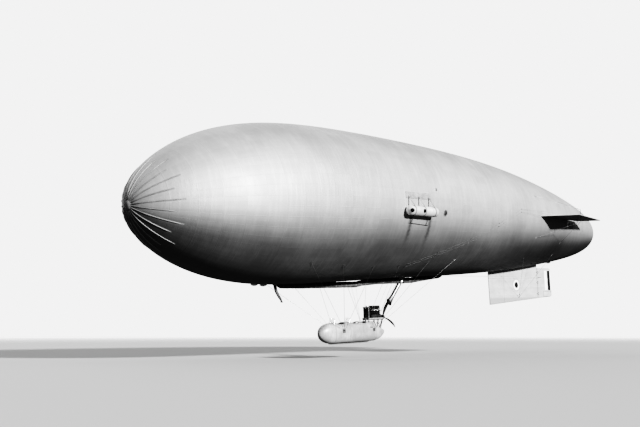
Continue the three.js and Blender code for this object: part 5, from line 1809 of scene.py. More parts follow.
def stuffed(name, size, channels):
    """A sewn pad: size (long, wide, thick), with straight channels across it, centred on the origin."""
    long, _, thick = size

    def block(worked):
        bmesh.ops.create_cube(worked, size=1.0, matrix=Matrix.Diagonal((*size, 1)))
        bmesh.ops.bevel(worked, geom=worked.edges[:], offset=0.4 * thick, segments=3, affect="EDGES")

    def to_channel(point):
        return min(abs(point.x - long * (k / channels - 0.5)) for k in range(1, channels))

    mesh = bpy.data.meshes.new(name)
    reworked(mesh, block)
    bag = bpy.data.objects.new(name + "_bag", mesh)
    bpy.context.scene.collection.objects.link(bag)
    remesh = bag.modifiers.new("even faces", "REMESH")
    remesh.mode = "VOXEL"
    remesh.voxel_size = VOXEL
    bag.data = as_drawn(bag)
    bag.modifiers.clear()
    sewn = bag.vertex_groups.new(name="sewn")
    start = [v.co.copy() for v in bag.data.vertices]
    for i, point in enumerate(start):
        if to_channel(point) < VOXEL * 0.6 or abs(point.z) < VOXEL:
            sewn.add([i], 1.0, "REPLACE")
    cloth = bag.modifiers.new("stuffing", "CLOTH")
    cloth.settings.use_pressure = True
    cloth.settings.uniform_pressure_force = PRESSURE
    cloth.settings.vertex_group_mass = "sewn"
    cloth.settings.effector_weights.gravity = 0
    cloth.point_cache.frame_start = 1
    cloth.point_cache.frame_end = FRAMES
    for frame_number in range(1, FRAMES + 1):
        bpy.context.scene.frame_set(frame_number)
    blown = as_drawn(bag)
    bpy.data.objects.remove(bag)
    bpy.context.scene.frame_set(1)
    for v, before in zip(blown.vertices, start):
        move = v.co - before
        if move.length > MOST_MOVE:
            v.co = before + move.normalized() * MOST_MOVE
        if abs(v.co.z) > 0.3 * thick:
            v.co.z -= copysign(CHANNEL_DEEP * exp(-((to_channel(before) / CHANNEL_WIDE) ** 2)), v.co.z)
    print(name + ":", len(blown.vertices), "points")
    return blown


pan_mesh = stuffed("seat_pan_bag", (0.218, 0.24, 0.02), 5)
back_mesh = stuffed("seat_back_bag", (0.27, 0.24, 0.018), 6)


def place_pad(name, source, way, node):
    """A copy of a pad, moved and turned to its seat."""
    mesh = source.copy()
    mesh.name = name
    mesh.transform(way)
    mesh.materials.clear()
    pad = set_up(name, mesh, "ship", [hide], [node], 0)
    rounder = pad.modifiers.new("finer", "SUBSURF")
    rounder.levels = 1
    rounder.render_levels = 1


# %% Seats
PAN_LEVEL, SEAT_LONG, SEAT_WIDE = CAR_DATUM - 0.095, 0.23, 0.25
SEAT_FRAME = PAN_LEVEL - 0.0115
BACK_TALL, LEG_OUT = 0.3, 0.09
for name, (_, cockpit_end, _) in COCKPITS.items():
    aft_end = car_x(cockpit_end - 0.06)
    middle = aft_end - SEAT_LONG / 2
    back_middle = PAN_LEVEL + BACK_TALL / 2
    pan = Matrix.Translation((middle - 0.012, 0, PAN_LEVEL + 0.004))
    place_pad(f"{name}_seat_pan", pan_mesh, pan, f"{name}_seat")
    stand = Matrix.Translation((aft_end - 0.014, 0, back_middle)) @ Matrix.Rotation(radians(90), 4, "Y")
    place_pad(f"{name}_seat_back", back_mesh, stand, f"{name}_seat")
    seat = Shape()
    seat.box((SEAT_LONG - 0.02, SEAT_WIDE - 0.01, 0.006), (middle, 0, SEAT_FRAME))
    seat.box((0.006, SEAT_WIDE - 0.012, BACK_TALL - 0.01), (aft_end - 0.003, 0, back_middle - 0.015))
    for side in (-1, 1):
        for x in (aft_end - SEAT_LONG + 0.03, aft_end - 0.03):
            foot = Vector((x, side * LEG_OUT, CAR_DATUM - 0.25))
            seat.tube([foot, foot + UP * 0.08, (x, side * LEG_OUT, SEAT_FRAME)], [0.009, 0.013, 0.012], 12)
            seat.disc(0.02, 0, 0.004, foot, UP, 14)
        rail_out = side * (SEAT_WIDE / 2 - 0.012)
        ends = (aft_end - SEAT_LONG + 0.01, aft_end - 0.01)
        seat.tube([(x, rail_out, SEAT_FRAME - 0.006) for x in ends], 0.007, 8)
    seat.make(f"{name}_seat_frame", "ship", "ash_wood", [wood], (), 0.0012)

# %% [markdown]
# ## Windscreens, board and wheel
# The windscreens are bent sheets of clear film in a wire frame. The film is a thin solid, so that light
# bends through it and comes out again. The dials are blank but for their ticks.

# %% Windscreens
SCREEN_FOOT, SCREEN_TOP, SCREEN_TALL, SCREEN_LEAD, SCREEN_LIFT = 0.165, 0.15, 0.16, 0.083, 0.3
SCREEN_HALF, FILM_THICK = 0.118, 0.003
SCREEN_RAKE = Matrix.Rotation(radians(20), 3, "Y")
WIDEST = asin(SCREEN_HALF / SCREEN_FOOT)


def screen_point(origin, level, angle, shrink=0.0):
    r = SCREEN_FOOT + (SCREEN_TOP - SCREEN_FOOT) * (level / SCREEN_TALL + 0.5) - shrink
    return origin + SCREEN_RAKE @ Vector((-r * cos(angle), r * sin(angle), level))


def over_deck(point):
    return point.z > deck_z(point.x - car_x(0), point.y)


for name in ("front", "pilot"):
    ahead = car_x(COCKPITS[name][0])
    origin = Vector((ahead + SCREEN_LEAD, 0, CAR_DATUM + SCREEN_LIFT))
    columns = []
    for angle in even(-WIDEST, WIDEST, 36):
        levels = even(-SCREEN_TALL / 2, SCREEN_TALL / 2, 80)
        clear = [level for level in levels if over_deck(screen_point(origin, level, angle))]
        low = (clear[0] if clear else levels[-1]) - 0.001
        top = low
        for level in even(low, SCREEN_TALL / 2, 80):
            if screen_point(origin, level, angle).x < ahead - 0.002:
                top = level
        columns.append((angle, low, max(top, low + 0.01)))
    sheet = Shape()
    rows = []
    for angle, low, top in columns:
        levels = even(low, top, 10)
        inner = [screen_point(origin, level, angle, FILM_THICK) for level in reversed(levels)]
        rows.append([screen_point(origin, level, angle) for level in levels] + inner)
    sheet.rings(rows)
    sheet.make(f"{name}_screen_film", "ship", "celluloid", [film], [f"{name}_windscreen"], 0, 40)
    rim = Shape()
    mid = FILM_THICK / 2
    over = [screen_point(origin, top, angle, mid) for angle, low, top in columns]
    under = [screen_point(origin, low + 0.003, angle, mid) for angle, low, top in columns]
    rim.tube([*over, *reversed(under), over[0]], 0.0032, 8)
    _, low, top = columns[len(columns) // 2]
    rim.tube([screen_point(origin, level, 0, mid) for level in (low, top)], 0.0028, 8)
    for k in (3, 12, 24, 33):
        angle, low, _ = columns[k]
        rim.bolt(screen_point(origin, low + 0.005, angle, -0.001), (-cos(angle), sin(angle), 0.3), 0.003)
    rim.make(f"{name}_screen_frame", "ship", "brass", [brass])

# %% Instrument board
BOARD_AFT, BOARD_THICK, BOARD_ABOVE, BOARD_TALL = 1.175, 0.014, 0.095, 0.25
board = Shape()
wide, deck_high, keel = section_at(BOARD_AFT)
outline = []
for z in even(BOARD_ABOVE - BOARD_TALL / 2, BOARD_ABOVE + BOARD_TALL / 2, 12):
    tall = (deck_high if z > 0 else keel) - CAR_WALL - 0.001
    outline.append(((wide - CAR_WALL - 0.001) * squared(z / tall), z))
outline = outline + [(-y, z) for y, z in reversed(outline)]
board.rings([
    [Vector((car_x(BOARD_AFT) + x, y, CAR_DATUM + z)) for y, z in outline]
    for x in (-BOARD_THICK / 2, BOARD_THICK / 2)
])
board.make("instrument_panel", "ship", "ash_wood", [wood], ["instrument_board"], 0.002)

dial_face = plain_finish("dial_face", (0.4, 0.0), 0.03, (0.62, 0.78), (0.0002, 0.2))
DIALS = (
    # out, up, radius
    (0.0, 0.165, 0.036), (-0.095, 0.15, 0.03), (0.095, 0.15, 0.03), (-0.05, 0.07, 0.022), (0.05, 0.07, 0.022),
)
BEZEL = ((0, 0), (1, 0), (1, 0.008), (0.86, 0.011), (0.84, 0.006), (0, 0.006))
dials = Shape()
face_x = car_x(BOARD_AFT) + BOARD_THICK / 2
for out, above, radius in DIALS:
    at = Vector((face_x, out, CAR_DATUM + above))
    dials.finish = 0
    dials.turned([(share * radius, lift) for share, lift in BEZEL], at, AFT, 32)
    dials.finish = 1
    dials.disc(0.84 * radius, 0.006, 0.0066, at, AFT, 32)
    dials.finish = 2
    for t in even(radians(-140), radians(140), 9):
        way = ACROSS * sin(t) + UP * cos(t)
        dials.tube([at + AFT * 0.007 + way * radius * share for share in (0.62, 0.78)], 0.0007, 4)
    needle = ACROSS * sin(0.5 + 9 * out) + UP * cos(0.5 + 9 * out)
    dials.tube([at + AFT * 0.0078 + needle * radius * share for share in (-0.15, 0.6)], [0.0014, 0.0004], 5)
    for spot in around(at, 1.1 * radius, UP, ACROSS, 3, radians(60)):
        dials.rivet(0.003, 0.002, 0.002, 0.002, spot, AFT)
dials.make("instrument_dials", "ship", "brass", [brass, dial_face, dark_metal])

# %% Pilot's wheel
WHEEL_RADIUS, WHEEL_RIM, WHEEL_OUT, WHEEL_ABOVE = 0.085, 0.008, 0.09, 0.09
COLUMN = (
    # radius, distance from the board
    (0, 0), (0.02, 0), (0.02, 0.004), (0.0115, 0.007), (0.0115, 0.078),
    (0.018, 0.08), (0.018, 0.096), (0.012, 0.098), (0, 0.098),
)
hub = Vector((face_x + WHEEL_OUT, 0, CAR_DATUM + WHEEL_ABOVE))
wheel = Shape()
radii = [WHEEL_RIM * (0.94 + 0.06 * cos(12 * t)) for t in even(0, 2 * pi, 64)]
wheel.tube(around(hub, WHEEL_RADIUS, ACROSS, UP, 64, closed=True), radii, 12)
wheel.finish = 1
wheel.turned(COLUMN, (face_x, 0, hub.z), AFT, 24)
for way in around(Vector(), 1, ACROSS, UP, 6):
    wheel.tube([hub + way * out for out in (0.012, 0.05, 0.08)], [0.0048, 0.0036, 0.0045], 10)
wheel.make("pilot_wheel_dressed", "ship", "ash_wood", [wood, brass], ["pilot_wheel"])

# %% Skid under the keel
SKID_LONG, SKID_WIDE, SKID_TALL, SKID_AFT, SKID_FOOT = 1.7, 0.044, 0.06, 1.25, -4.138
SOLE = ((-1, 0.012), (-0.8, 0.003), (-0.4, 0), (0.4, 0), (0.8, 0.003), (1, 0.012))  # share of the width, up
skid = Shape()
top = SKID_FOOT + SKID_TALL - 0.004
rows = []
for share in even(0, 1, 60):
    x = car_x(SKID_AFT) + SKID_LONG * (share - 0.5)
    from_end = min(share, 1 - share) * SKID_LONG
    foot = SKID_FOOT + 0.022 * max(1 - from_end / 0.12, 0) ** 2
    half_wide = SKID_WIDE / 2 * (0.75 + 0.25 * min(from_end / 0.06, 1))
    section = [(1, top), (-1, top)] + [(y, foot + up) for y, up in SOLE]
    rows.append([Vector((x, y * half_wide, z)) for y, z in section])
skid.rings(rows)
skid.finish = 1
for aft in (0.5, 0.85, 1.25, 1.65, 2.0):
    at = Vector((car_x(aft), 0, SKID_FOOT + 0.04))
    skid.box((0.03, SKID_WIDE + 0.006, 0.02), at)
    for side in (-1, 1):
        skid.bolt(at + ACROSS * side * (SKID_WIDE / 2 + 0.003), ACROSS * side, 0.004)
skid.make("keel_runner", "ship", "ash_wood", [wood, dark_metal], ["keel_skid"], 0.001)

# %% [markdown]
# ## Engine bed
# The engine sits over the car's tail on two ash bearers. Bars are drawn out of their solids with rounded
# edges, and the steel struts get sockets and through bolts, because plain rods look like a diagram.

# %% Bearers, struts and crossbars
CRANK_Z, PROP_X = -3.379, -0.44
BEARER_OUT, BEARER_WIDE, BEARER_TALL, BEARER_TOP = 0.115, 0.03, 0.044, -3.402
BEARER_FROM, BEARER_TO, STRUT_RADIUS, SOCKET_RADIUS = -1.23, -0.52, 0.0095, 0.0125
STRUTS = (
    # head, foot, foot out
    (-1.2, -1.215, 0.115), (-0.96, -0.945, 0.112), (-0.74, -0.78, 0.08), (-0.57, -0.62, 0.06),
)
CROSSBARS, CROSSBAR, CROSSBAR_DROP = (-1.2, -0.96, -0.74, -0.545), 0.028, 0.052
bed = Shape()
for side, _ in SIDES:
    middle = Vector(((BEARER_FROM + BEARER_TO) / 2, side * BEARER_OUT, BEARER_TOP - BEARER_TALL / 2))
    bed.finish = 0
    bed.box((BEARER_TO - BEARER_FROM, BEARER_WIDE, BEARER_TALL), middle)
    bed.finish = 1
    for end in (BEARER_FROM + 0.012, BEARER_TO - 0.012):
        bed.box((0.02, BEARER_WIDE + 0.003, BEARER_TALL + 0.003), (end, middle.y, middle.z))
    for head, foot, out in STRUTS:
        top = Vector((head, side * BEARER_OUT, BEARER_TOP - 0.02))
        aft = foot - car_x(0)
        low_z = deck_z(aft, out) if aft < CAR_END else CAR_DATUM + 0.02
        low = Vector((foot, side * out, low_z - 0.004))
        way = (top - low).normalized()
        long = (top - low).length
        places = [low + way * at for at in (0, 0.03, 0.034, long - 0.05, long - 0.046, long)]
        wide, narrow = [SOCKET_RADIUS] * 2, [STRUT_RADIUS] * 2
        bed.tube(places, wide + narrow + wide, 16)
        bed.turned([(0, 0), (0.026, 0), (0.026, 0.004), (0.014, 0.006), (0, 0.006)], low, UP, 20)
        for spot in around(low + UP * 0.003, 0.02, AFT, ACROSS, 4, 0.6):
            bed.bolt(spot, UP, 0.0028)
        bed.bolt(top + ACROSS * side * BEARER_WIDE / 2, ACROSS * side, 0.005)
bed.finish = 0
for x in CROSSBARS:
    bed.box((CROSSBAR, 2 * BEARER_OUT, CROSSBAR), (x, 0, BEARER_TOP - CROSSBAR_DROP))
bed.finish = 1
z = BEARER_TOP - CROSSBAR_DROP + 0.01
for x0, x1 in zip(CROSSBARS, CROSSBARS[1:]):
    for out in (-0.09, 0.09):
        bed.tube([(x0 + 0.016, out, z), (x1 - 0.016, -out, z)], 0.0022, 6)
bed.make("engine_bed", "ship", "ash_wood", [wood, dark_metal], ["engine_bearers"], 0.0015)

# %% [markdown]
# ## Engine
# A six-cylinder upright engine with separate cylinders. Turned profiles give the barrels their cooling
# jackets, flanges and heads. Around them go what the eye expects: the cam box, rockers and springs,
# the plugs with their leads, the inlet pipe with its branches, and the magneto.

# %% Engine finishes
cast_metal, shader, place = new_finish("cast_metal", 0.55, 0.7)
weather = weathered(place, 0.06)
oily = noise_of(stretched(place, (6, 6, 2)), 3.0, 4, 0.6)
soaked = mixed(faded(oily, 0.5, 0.7), mixed(weather["Blotches"], 0.014, 0.035), 0.008)
colour = mixed(worn_edges(place, 0.6), soaked, 0.12)
give(shader, colour, faded(oily, 0.45, 0.7, 0.6, 0.28), weather["Speckle"], 0.0012, 0.6)

scorched = plain_finish(
    "scorched_iron", (0.65, 0.6), 0.07, (0.012, 0.04), (0.001, 0.6), stretch=(1, 3, 3),
    streak=(0.5, 0.07), gloss=("Speckle", 0.3, 0.7, 0.5, 0.8),
)
rubber = plain_finish("black_rubber", (0.6, 0.0, 0.4), 0.05, (0.012, 0.035), (0.0005, 0.4))
print("finishes:", cast_metal.name, scorched.name, rubber.name)

# %% Crankcase and mounts
ENGINE_FROM, ENGINE_TO = -1.05, -0.57
CYLINDERS = [-1.005 + 0.078 * i for i in range(6)]
FIRST, LAST = CYLINDERS[0], CYLINDERS[-1]
CASE = ((0.07, -3.436), (0.088, -3.4), (0.088, -3.34), (0.06, -3.3))
MOUNTS, MOUNT_LONG, MOUNT_THICK = (-1.0, -0.8, -0.6), 0.05, 0.014
NOSE = (
    # radius, distance from the case
    (0, -0.02), (0.046, -0.02), (0.046, 0.004), (0.041, 0.02), (0.034, 0.055),
    (0.031, 0.07), (0.03, 0.075), (0.016, 0.075), (0, 0.075),
)
CAST, JACKET, STEEL, PIPE, LEAD = range(5)
motor = Shape()
case_line = [*CASE, *((-out, z) for out, z in reversed(CASE))]
rows = []
ends = (ENGINE_FROM, 0.012), (ENGINE_FROM + 0.008, 0.0), (ENGINE_TO - 0.008, 0.0), (ENGINE_TO, 0.012)
for x, shrink in ends:
    narrower, lower = 1 - shrink / 0.088, 1 - shrink / 0.07
    rows.append([Vector((x, out * narrower, CRANK_Z + (z - CRANK_Z) * lower)) for out, z in case_line])
motor.rings(rows)
for x in even(ENGINE_FROM + 0.03, ENGINE_TO - 0.03, 6):
    for side in (-1, 1):
        motor.box((0.008, 0.012, 0.07), (x, side * 0.083, -3.372))
motor.box((ENGINE_TO - ENGINE_FROM - 0.004, 0.178, 0.008), ((ENGINE_FROM + ENGINE_TO) / 2, 0, -3.37))
for x in MOUNTS:
    motor.box((MOUNT_LONG, 2 * BEARER_OUT + 0.024, MOUNT_THICK), (x, 0, BEARER_TOP + MOUNT_THICK / 2))
motor.turned(NOSE, (ENGINE_TO, 0, CRANK_Z), AFT, 32)
motor.finish = STEEL
for side in (-1, 1):
    for x in MOUNTS:
        for dx in (-0.014, 0.014):
            motor.bolt((x + dx, side * BEARER_OUT, BEARER_TOP + MOUNT_THICK), UP, 0.0045)
    for x in even(ENGINE_FROM + 0.015, ENGINE_TO - 0.015, 15):
        motor.bolt((x, side * 0.0865, -3.366), UP, 0.0024)

# %% Cylinders, springs and cam box
BORE, BARREL_FOOT, HEAD_FOOT, HEAD_TOP, HEAD_RADIUS = 0.034, -3.31, -3.08, -3.028, 0.024
CAM_OUT, CAM_Z, CAM_RADIUS = 0.03, -3.042, 0.013
SHAFT_RADIUS = 0.014
COIL_RADIUS, COIL_TALL, COIL_TURNS = 0.0055, 0.013, 4
barrel = [(0, 0), (0.039, 0), (0.039, 0.007), (0.031, 0.009), (0.031, 0.03), (BORE, 0.034)]
for foot in even(0.05, 0.186, 4):
    waist = BORE - 0.0015
    barrel += [(BORE, foot), (waist, foot + 0.002), (waist, foot + 0.006), (BORE, foot + 0.008)]
barrel += [(BORE, 0.222), (0.03, 0.229), (HEAD_RADIUS, 0.233), (HEAD_RADIUS, 0.27), (0.021, 0.28), (0, 0.282)]
motor.finish = JACKET
for x in CYLINDERS:
    motor.turned(barrel, (x, 0, BARREL_FOOT), UP, 28)
motor.tube([(ENGINE_TO, 0, CRANK_Z), (PROP_X + 0.04, 0, CRANK_Z)], SHAFT_RADIUS, 24)
motor.finish = STEEL
for x in CYLINDERS:
    for side in (-1, 1):
        for dx in (-0.026, 0.026):
            motor.bolt((x + dx, side * 0.03, BARREL_FOOT + 0.006), UP, 0.0032)
        motor.tube([(x, side * 0.03, -3.245), (x, side * 0.055, -3.245)], 0.0065, 12)
    for dx in (-0.012, 0.012):
        stem = Vector((x + dx, -0.004, HEAD_TOP - 0.004))
        coil = []
        for turn in even(0, COIL_TURNS, 36):
            out = AFT * cos(2 * pi * turn) + ACROSS * sin(2 * pi * turn)
            coil.append(stem + COIL_RADIUS * out + UP * (COIL_TALL * turn / COIL_TURNS - 0.012))
        motor.tube(coil, 0.0011, 5)
        motor.tube([stem - UP * 0.02, stem + UP * 0.003], 0.002, 8)
        motor.box((0.006, 0.04, 0.005), stem + Vector((0, 0.014, 0.0015)))
motor.tube([(FIRST - 0.03, CAM_OUT, CAM_Z), (LAST + 0.03, CAM_OUT, CAM_Z)], CAM_RADIUS, 20)
for x in even(FIRST - 0.02, LAST + 0.02, 6):
    motor.disc(0.0145, -0.006, 0.006, (x, CAM_OUT, CAM_Z - 0.0015), AFT)

# %% Inlet pipe, magneto and plugs
INLET_OUT, INLET_Z, INLET_RADIUS = -0.048, -3.18, 0.015
BRANCH = ((INLET_OUT, 0), (INLET_OUT + 0.003, 0.03), (-0.03, 0.062), (-0.016, 0.068))  # out, up from the pipe
CARBURETTOR = (
    # radius, distance down from the pipe
    (0, -0.03), (0.012, -0.03), (0.012, -0.006), (0.018, -0.004), (0.018, 0.004), (0.01, 0.006), (0, 0.006),
)
DRUM = ((0, -0.034), (0.03, -0.034), (0.034, -0.028), (0.034, 0.026), (0.03, 0.033), (0, 0.034))
PLUG = ((0, 0), (0.0052, 0), (0.0052, 0.006), (0.003, 0.008), (0.0024, 0.018), (0, 0.019))
MAGNETO = Vector((-1.08, 0, -3.34))
motor.finish = PIPE
motor.tube([(FIRST - 0.02, INLET_OUT, INLET_Z), (LAST + 0.02, INLET_OUT, INLET_Z)], INLET_RADIUS, 20)
for x in CYLINDERS:
    motor.tube(smooth_path([(x, out, INLET_Z + up) for out, up in BRANCH], 5), 0.009, 14)
for x in (CYLINDERS[1] + 0.039, CYLINDERS[4] - 0.039):
    motor.turned(CARBURETTOR, (x, INLET_OUT - 0.012, INLET_Z - 0.012), (0, -0.2, -1), 20)
motor.finish = CAST
motor.box((0.066, 0.062, 0.03), MAGNETO - UP * 0.025)
motor.finish = LEAD
motor.turned(DRUM, MAGNETO + UP * 0.004, AFT, 28)
for i, x in enumerate(CYLINDERS):
    for side in (-1, 1):
        plug = Vector((x + 0.014, side * 0.022, HEAD_FOOT + 0.012))
        motor.finish = STEEL
        motor.turned(PLUG, plug, (0, side, 0.2), 8)
        motor.finish = LEAD
        tip = plug + Vector((0, side * 0.018, 0.004))
        run_z = HEAD_FOOT - 0.012 - 0.003 * i
        lead = [
            tip,
            tip + Vector((-0.012, side * 0.004, -0.008)),
            (x - 0.02, side * 0.047, run_z),
            (FIRST - 0.035, side * 0.045, run_z - 0.01),
            MAGNETO + Vector((0.012, side * 0.034, 0.12)),
            MAGNETO + Vector((0.0036 * i - 0.012, side * 0.02, 0.03)),
        ]
        motor.tube(smooth_path(lead, 6), 0.0022, 6)
finishes = [cast_metal, scorched, dark_metal, brass, rubber]
motor.make("engine_dressed", "ship", "black_iron", finishes, ["engine"], 0.0008)

# %% [markdown]
# ### Radiator
# A honeycomb core between two header tanks. Hexagonal cells could be modelled one by one, but at this
# size they are finer than a pixel, so the core is a bumpy block and the honeycomb is in its finish,
# with painted shade in each hole.

# %% Honeycomb finish
ROW_PITCH, CELL_PITCH = 0.0078, 0.009
core, shader, place = new_finish("radiator_core", 0.4, 0.7)
parts = split(place)
in_rows = sum_of("DIVIDE", parts["Z"], ROW_PITCH)
odd = times(sum_of("MODULO", sum_of("ABSOLUTE", sum_of("FLOOR", in_rows)), 2.0), 0.5)
in_cells = plus(sum_of("DIVIDE", parts["Y"], CELL_PITCH), odd)
up = sum_of("SUBTRACT", sum_of("FRACT", in_rows), 0.5)
over = sum_of("SUBTRACT", sum_of("FRACT", in_cells), 0.5)
from_hole = sum_of("SQRT", plus(times(up, up), times(over, over)))
# Painted shade: each hole of the honeycomb is nearly black, for the shade inside its cell
hole = faded(from_hole, 0.34, 0.42, 1.0, 0.0)
base = mixed(weathered(place, 0.08)["Blotches"], 0.14, 0.3)
give(shader, mixed(hole, base, 0.008), None, times(hole, -1.0), 0.002, 0.9)
print("finish:", core.name)

# %% Radiator
THICK, WIDE, TALL = 0.056, 0.21, 0.322
HEADER, LIP, FILLER, NECK_TALL = 0.03, 0.008, 0.026, 0.05
NECK = (
    # radius, height over the header
    (0, 0), (0.021, 0), (0.021, NECK_TALL - 0.02), (FILLER, NECK_TALL - 0.018),
    (FILLER, NECK_TALL - 0.004), (0.022, NECK_TALL), (0, NECK_TALL),
)
foot = Vector((-1.175, 0, BEARER_TOP + 0.0003))
middle, top = foot + UP * TALL / 2, foot + UP * TALL
cooler = Shape()
cooler.box((THICK - 0.006, WIDE - 0.014, TALL - 0.05), middle + UP * 0.004)
cooler.finish = 1
cooler.box((THICK, WIDE, 0.034), foot + UP * 0.017)
cooler.box((THICK + 2 * LIP, WIDE + 2 * LIP, HEADER), top)
cooler.turned(NECK, top, UP, 28)
for side in (-1, 1):
    edge = ACROSS * side * (WIDE / 2 - 0.004)
    cooler.box((THICK, 0.008, TALL - 0.03), middle + edge)
    for face in (-1, 1):
        for at in even(foot + UP * 0.05, top - UP * 0.03, 6):
            cooler.rivet(0.0035, 0.0025, 0.0018, 0.002, at + edge + AFT * face * THICK / 2, AFT * face)
cooler.finish = 2
hose = [
    top + Vector((0.03, 0.03, -0.012)), top + Vector((0.075, 0.03, -0.02)),
    (foot.x + 0.12, 0.015, HEAD_FOOT - 0.02), (-1.02, 0.01, HEAD_FOOT - 0.03),
]
cooler.tube(smooth_path(hose, 6), 0.012, 16)
low_hose = [foot + Vector((0.028, -0.05, 0.025)), foot + Vector((0.07, -0.05, 0.04)), (-1.045, -0.045, -3.33)]
cooler.tube(smooth_path(low_hose, 6), 0.011, 16)
cooler.make("radiator_dressed", "ship", "brass", [core, brass, rubber], ["radiator"], 0.0012)

# %% Exhaust
EXHAUST_OUT, EXHAUST_Z, EXHAUST_RADIUS = 0.064, -3.12, 0.017
BEND = ((0.01, 0, -3.12), (0.05, 0.06, -3.15), (0.04, 0.12, -3.26), (0.02, 0.125, -3.53))
pipe = Shape()
bend = smooth_path([(FIRST - ahead, EXHAUST_OUT + out, z) for ahead, out, z in BEND], 10)
straight = [(x, EXHAUST_OUT, EXHAUST_Z) for x in (LAST + 0.02, LAST + 0.016, FIRST)]
pipe.tube([*straight, *bend], [0.013, *[EXHAUST_RADIUS] * (len(bend) + 2)], 24)
for x in CYLINDERS:
    pipe.tube([(x, 0.026, EXHAUST_Z), (x, EXHAUST_OUT, EXHAUST_Z)], 0.0098, 14)
    pipe.disc(0.0165, 0, 0.004, (x, 0.033, EXHAUST_Z), ACROSS)
    for dz in (-0.0125, 0.0125):
        pipe.bolt((x + 0.003, 0.037, EXHAUST_Z + dz), ACROSS, 0.0022)
for k in (24, 12):
    clip = ((0.0165, -0.006), (0.0195, -0.006), (0.0195, 0.006), (0.0165, 0.006))
    pipe.turned(clip, bend[k], bend[k + 1] - bend[k], 24)
pipe.turned([(0.0165, 0), (0.0185, 0), (0.0185, 0.01), (0.0165, 0.01)], bend[-1] + UP * 0.012, -UP, 24)
pipe.make("exhaust_dressed", "ship", "black_iron", [scorched], ["exhaust_pipe"], 0, 45)

# %% [markdown]
# ## Propeller
# Four laminated blades of curved outline, sheathed at their tips. The blade is lofted through the same
# seven sections as the solid, with each section rounded into a true aerofoil. It rides on its own body,
# so that it turns with its shaft. The laminations are stripes in the finish, laid along each blade.

# %% Propeller finish
laminated, shader, place = new_finish("laminated_wood", 0.25, 0.0, 0.6)
shader.inputs["Coat Weight"].default_value = 0.4
uv = put(place, "ShaderNodeUVMap").outputs[0]
through = plus(split(uv)["Y"], (noise_of(place, 9.0, 3), 0.012))
plies = seams(through, 0.09, 0.02)
ply_tone = put(place, "ShaderNodeTexWhiteNoise", {"noise_dimensions": "1D"}, {"W": plies["Number"]})
grain = noise_of(stretched(uv, (9, 260, 1)), 1.0, 4)
base = mixed(plus(times(ply_tone.outputs["Value"], 0.4), (grain, 0.5)), 0.05, 0.17)
colour = mixed(times(plies["Line"], 0.5), base, 0.02)
give(shader, colour, faded(grain, 0.3, 0.7, 0.22, 0.4), grain, 0.0004, 0.4)
print("finish:", laminated.name)

# %% Form of a blade
BLADE = (
    # out, chord, thickness, twist in degrees, sweep
    (0.03, 0.046, 0.034, -62, 0), (0.11, 0.058, 0.026, -48, 0.012), (0.23, 0.082, 0.018, -34, 0.02),
    (0.36, 0.094, 0.013, -25, 0.014), (0.48, 0.084, 0.009, -19, -0.008), (0.565, 0.052, 0.006, -16, -0.04),
    (0.59, 0.02, 0.004, -15, -0.054),
)
AEROFOIL = (
    # share of the chord, share of the thickness
    (-0.5, 0.0), (-0.48, 0.16), (-0.42, 0.3), (-0.32, 0.43), (-0.2, 0.5), (-0.05, 0.5),
    (0.1, 0.46), (0.25, 0.36), (0.38, 0.2), (0.47, 0.07), (0.5, 0.0), (0.45, -0.1),
    (0.3, -0.26), (0.1, -0.38), (-0.1, -0.44), (-0.25, -0.44), (-0.38, -0.34), (-0.46, -0.18),
)
shaft = Vector((PROP_X, 0, CRANK_Z))


def blade_rows(turn):
    table = smooth_path([(out, chord, thick) for out, chord, thick, _, _ in BLADE], 8)
    bends = smooth_path([(out, twist, sweep) for out, _, _, twist, sweep in BLADE], 8)
    rows = []
    for (out, chord, thick), (_, twist, sweep) in zip(table, bends):
        c, s = cos(radians(twist)), sin(radians(twist))
        row = []
        for across, through in AEROFOIL:
            along, over = across * chord, through * thick
            p = Vector((along * s + over * c, sweep + along * c - over * s, out))
            row.append(Matrix.Rotation(turn, 3, "X") @ p + shaft)
        rows.append(row)
    return rows


print("blade:", len(blade_rows(0)), "rows of", len(AEROFOIL), "points")

# %% Propeller
BLADES, LEAD_ANGLE = 4, 27.4
BOSS_RADIUS, BOSS_HALF, BORE_RADIUS, PLATE_BORE = 0.062, 0.034, 0.0144, 0.0148
BOSS = (
    # radius, distance along the shaft
    (BORE_RADIUS, -BOSS_HALF), (0.056, -BOSS_HALF), (BOSS_RADIUS, -0.028), (BOSS_RADIUS, 0.028),
    (0.056, BOSS_HALF), (BORE_RADIUS, BOSS_HALF), (BORE_RADIUS, -BOSS_HALF),
)
FACE_PLATE = ((PLATE_BORE, 0), (0.05, 0), (0.05, 0.005), (0.047, 0.006), (PLATE_BORE, 0.006), (PLATE_BORE, 0))
SHEATH_FROM = 34  # the first row of a blade that its metal tip covers
screw = Shape()
for i in range(BLADES):
    rows = blade_rows(radians(LEAD_ANGLE + 90 * i))
    screw.finish = 0
    screw.rings(rows)
    screw.finish = 1
    tip_rows = rows[SHEATH_FROM:]
    centres = [sum(row, Vector()) / len(row) for row in tip_rows]
    screw.rings([
        [m + (p - m) * 1.02 + (p - m).normalized() * 0.0004 for p in row] for row, m in zip(tip_rows, centres)
    ])
    for row in tip_rows[1:-4:3]:
        for k in (3, 7):
            way = (row[k] - row[-k - 3]).normalized()
            screw.rivet(0.0022, 0.0015, 0.0009, 0.001, row[k] + way * 0.0005, way)
screw.finish = 0
screw.rings([around(shaft + AFT * along, radius, ACROSS, UP, 48) for radius, along in BOSS], caps=False)
screw.finish = 2
for end in (-1, 1):
    face = shaft + AFT * end * (BOSS_HALF - 0.0062)
    screw.turned(FACE_PLATE, face, AFT * end, 40)
    for spot in around(face + AFT * end * 0.005, 0.038, ACROSS, UP, 8, radians(22.5)):
        screw.bolt(spot, AFT * end, 0.0032)
finishes = [laminated, bright_metal, dark_metal]
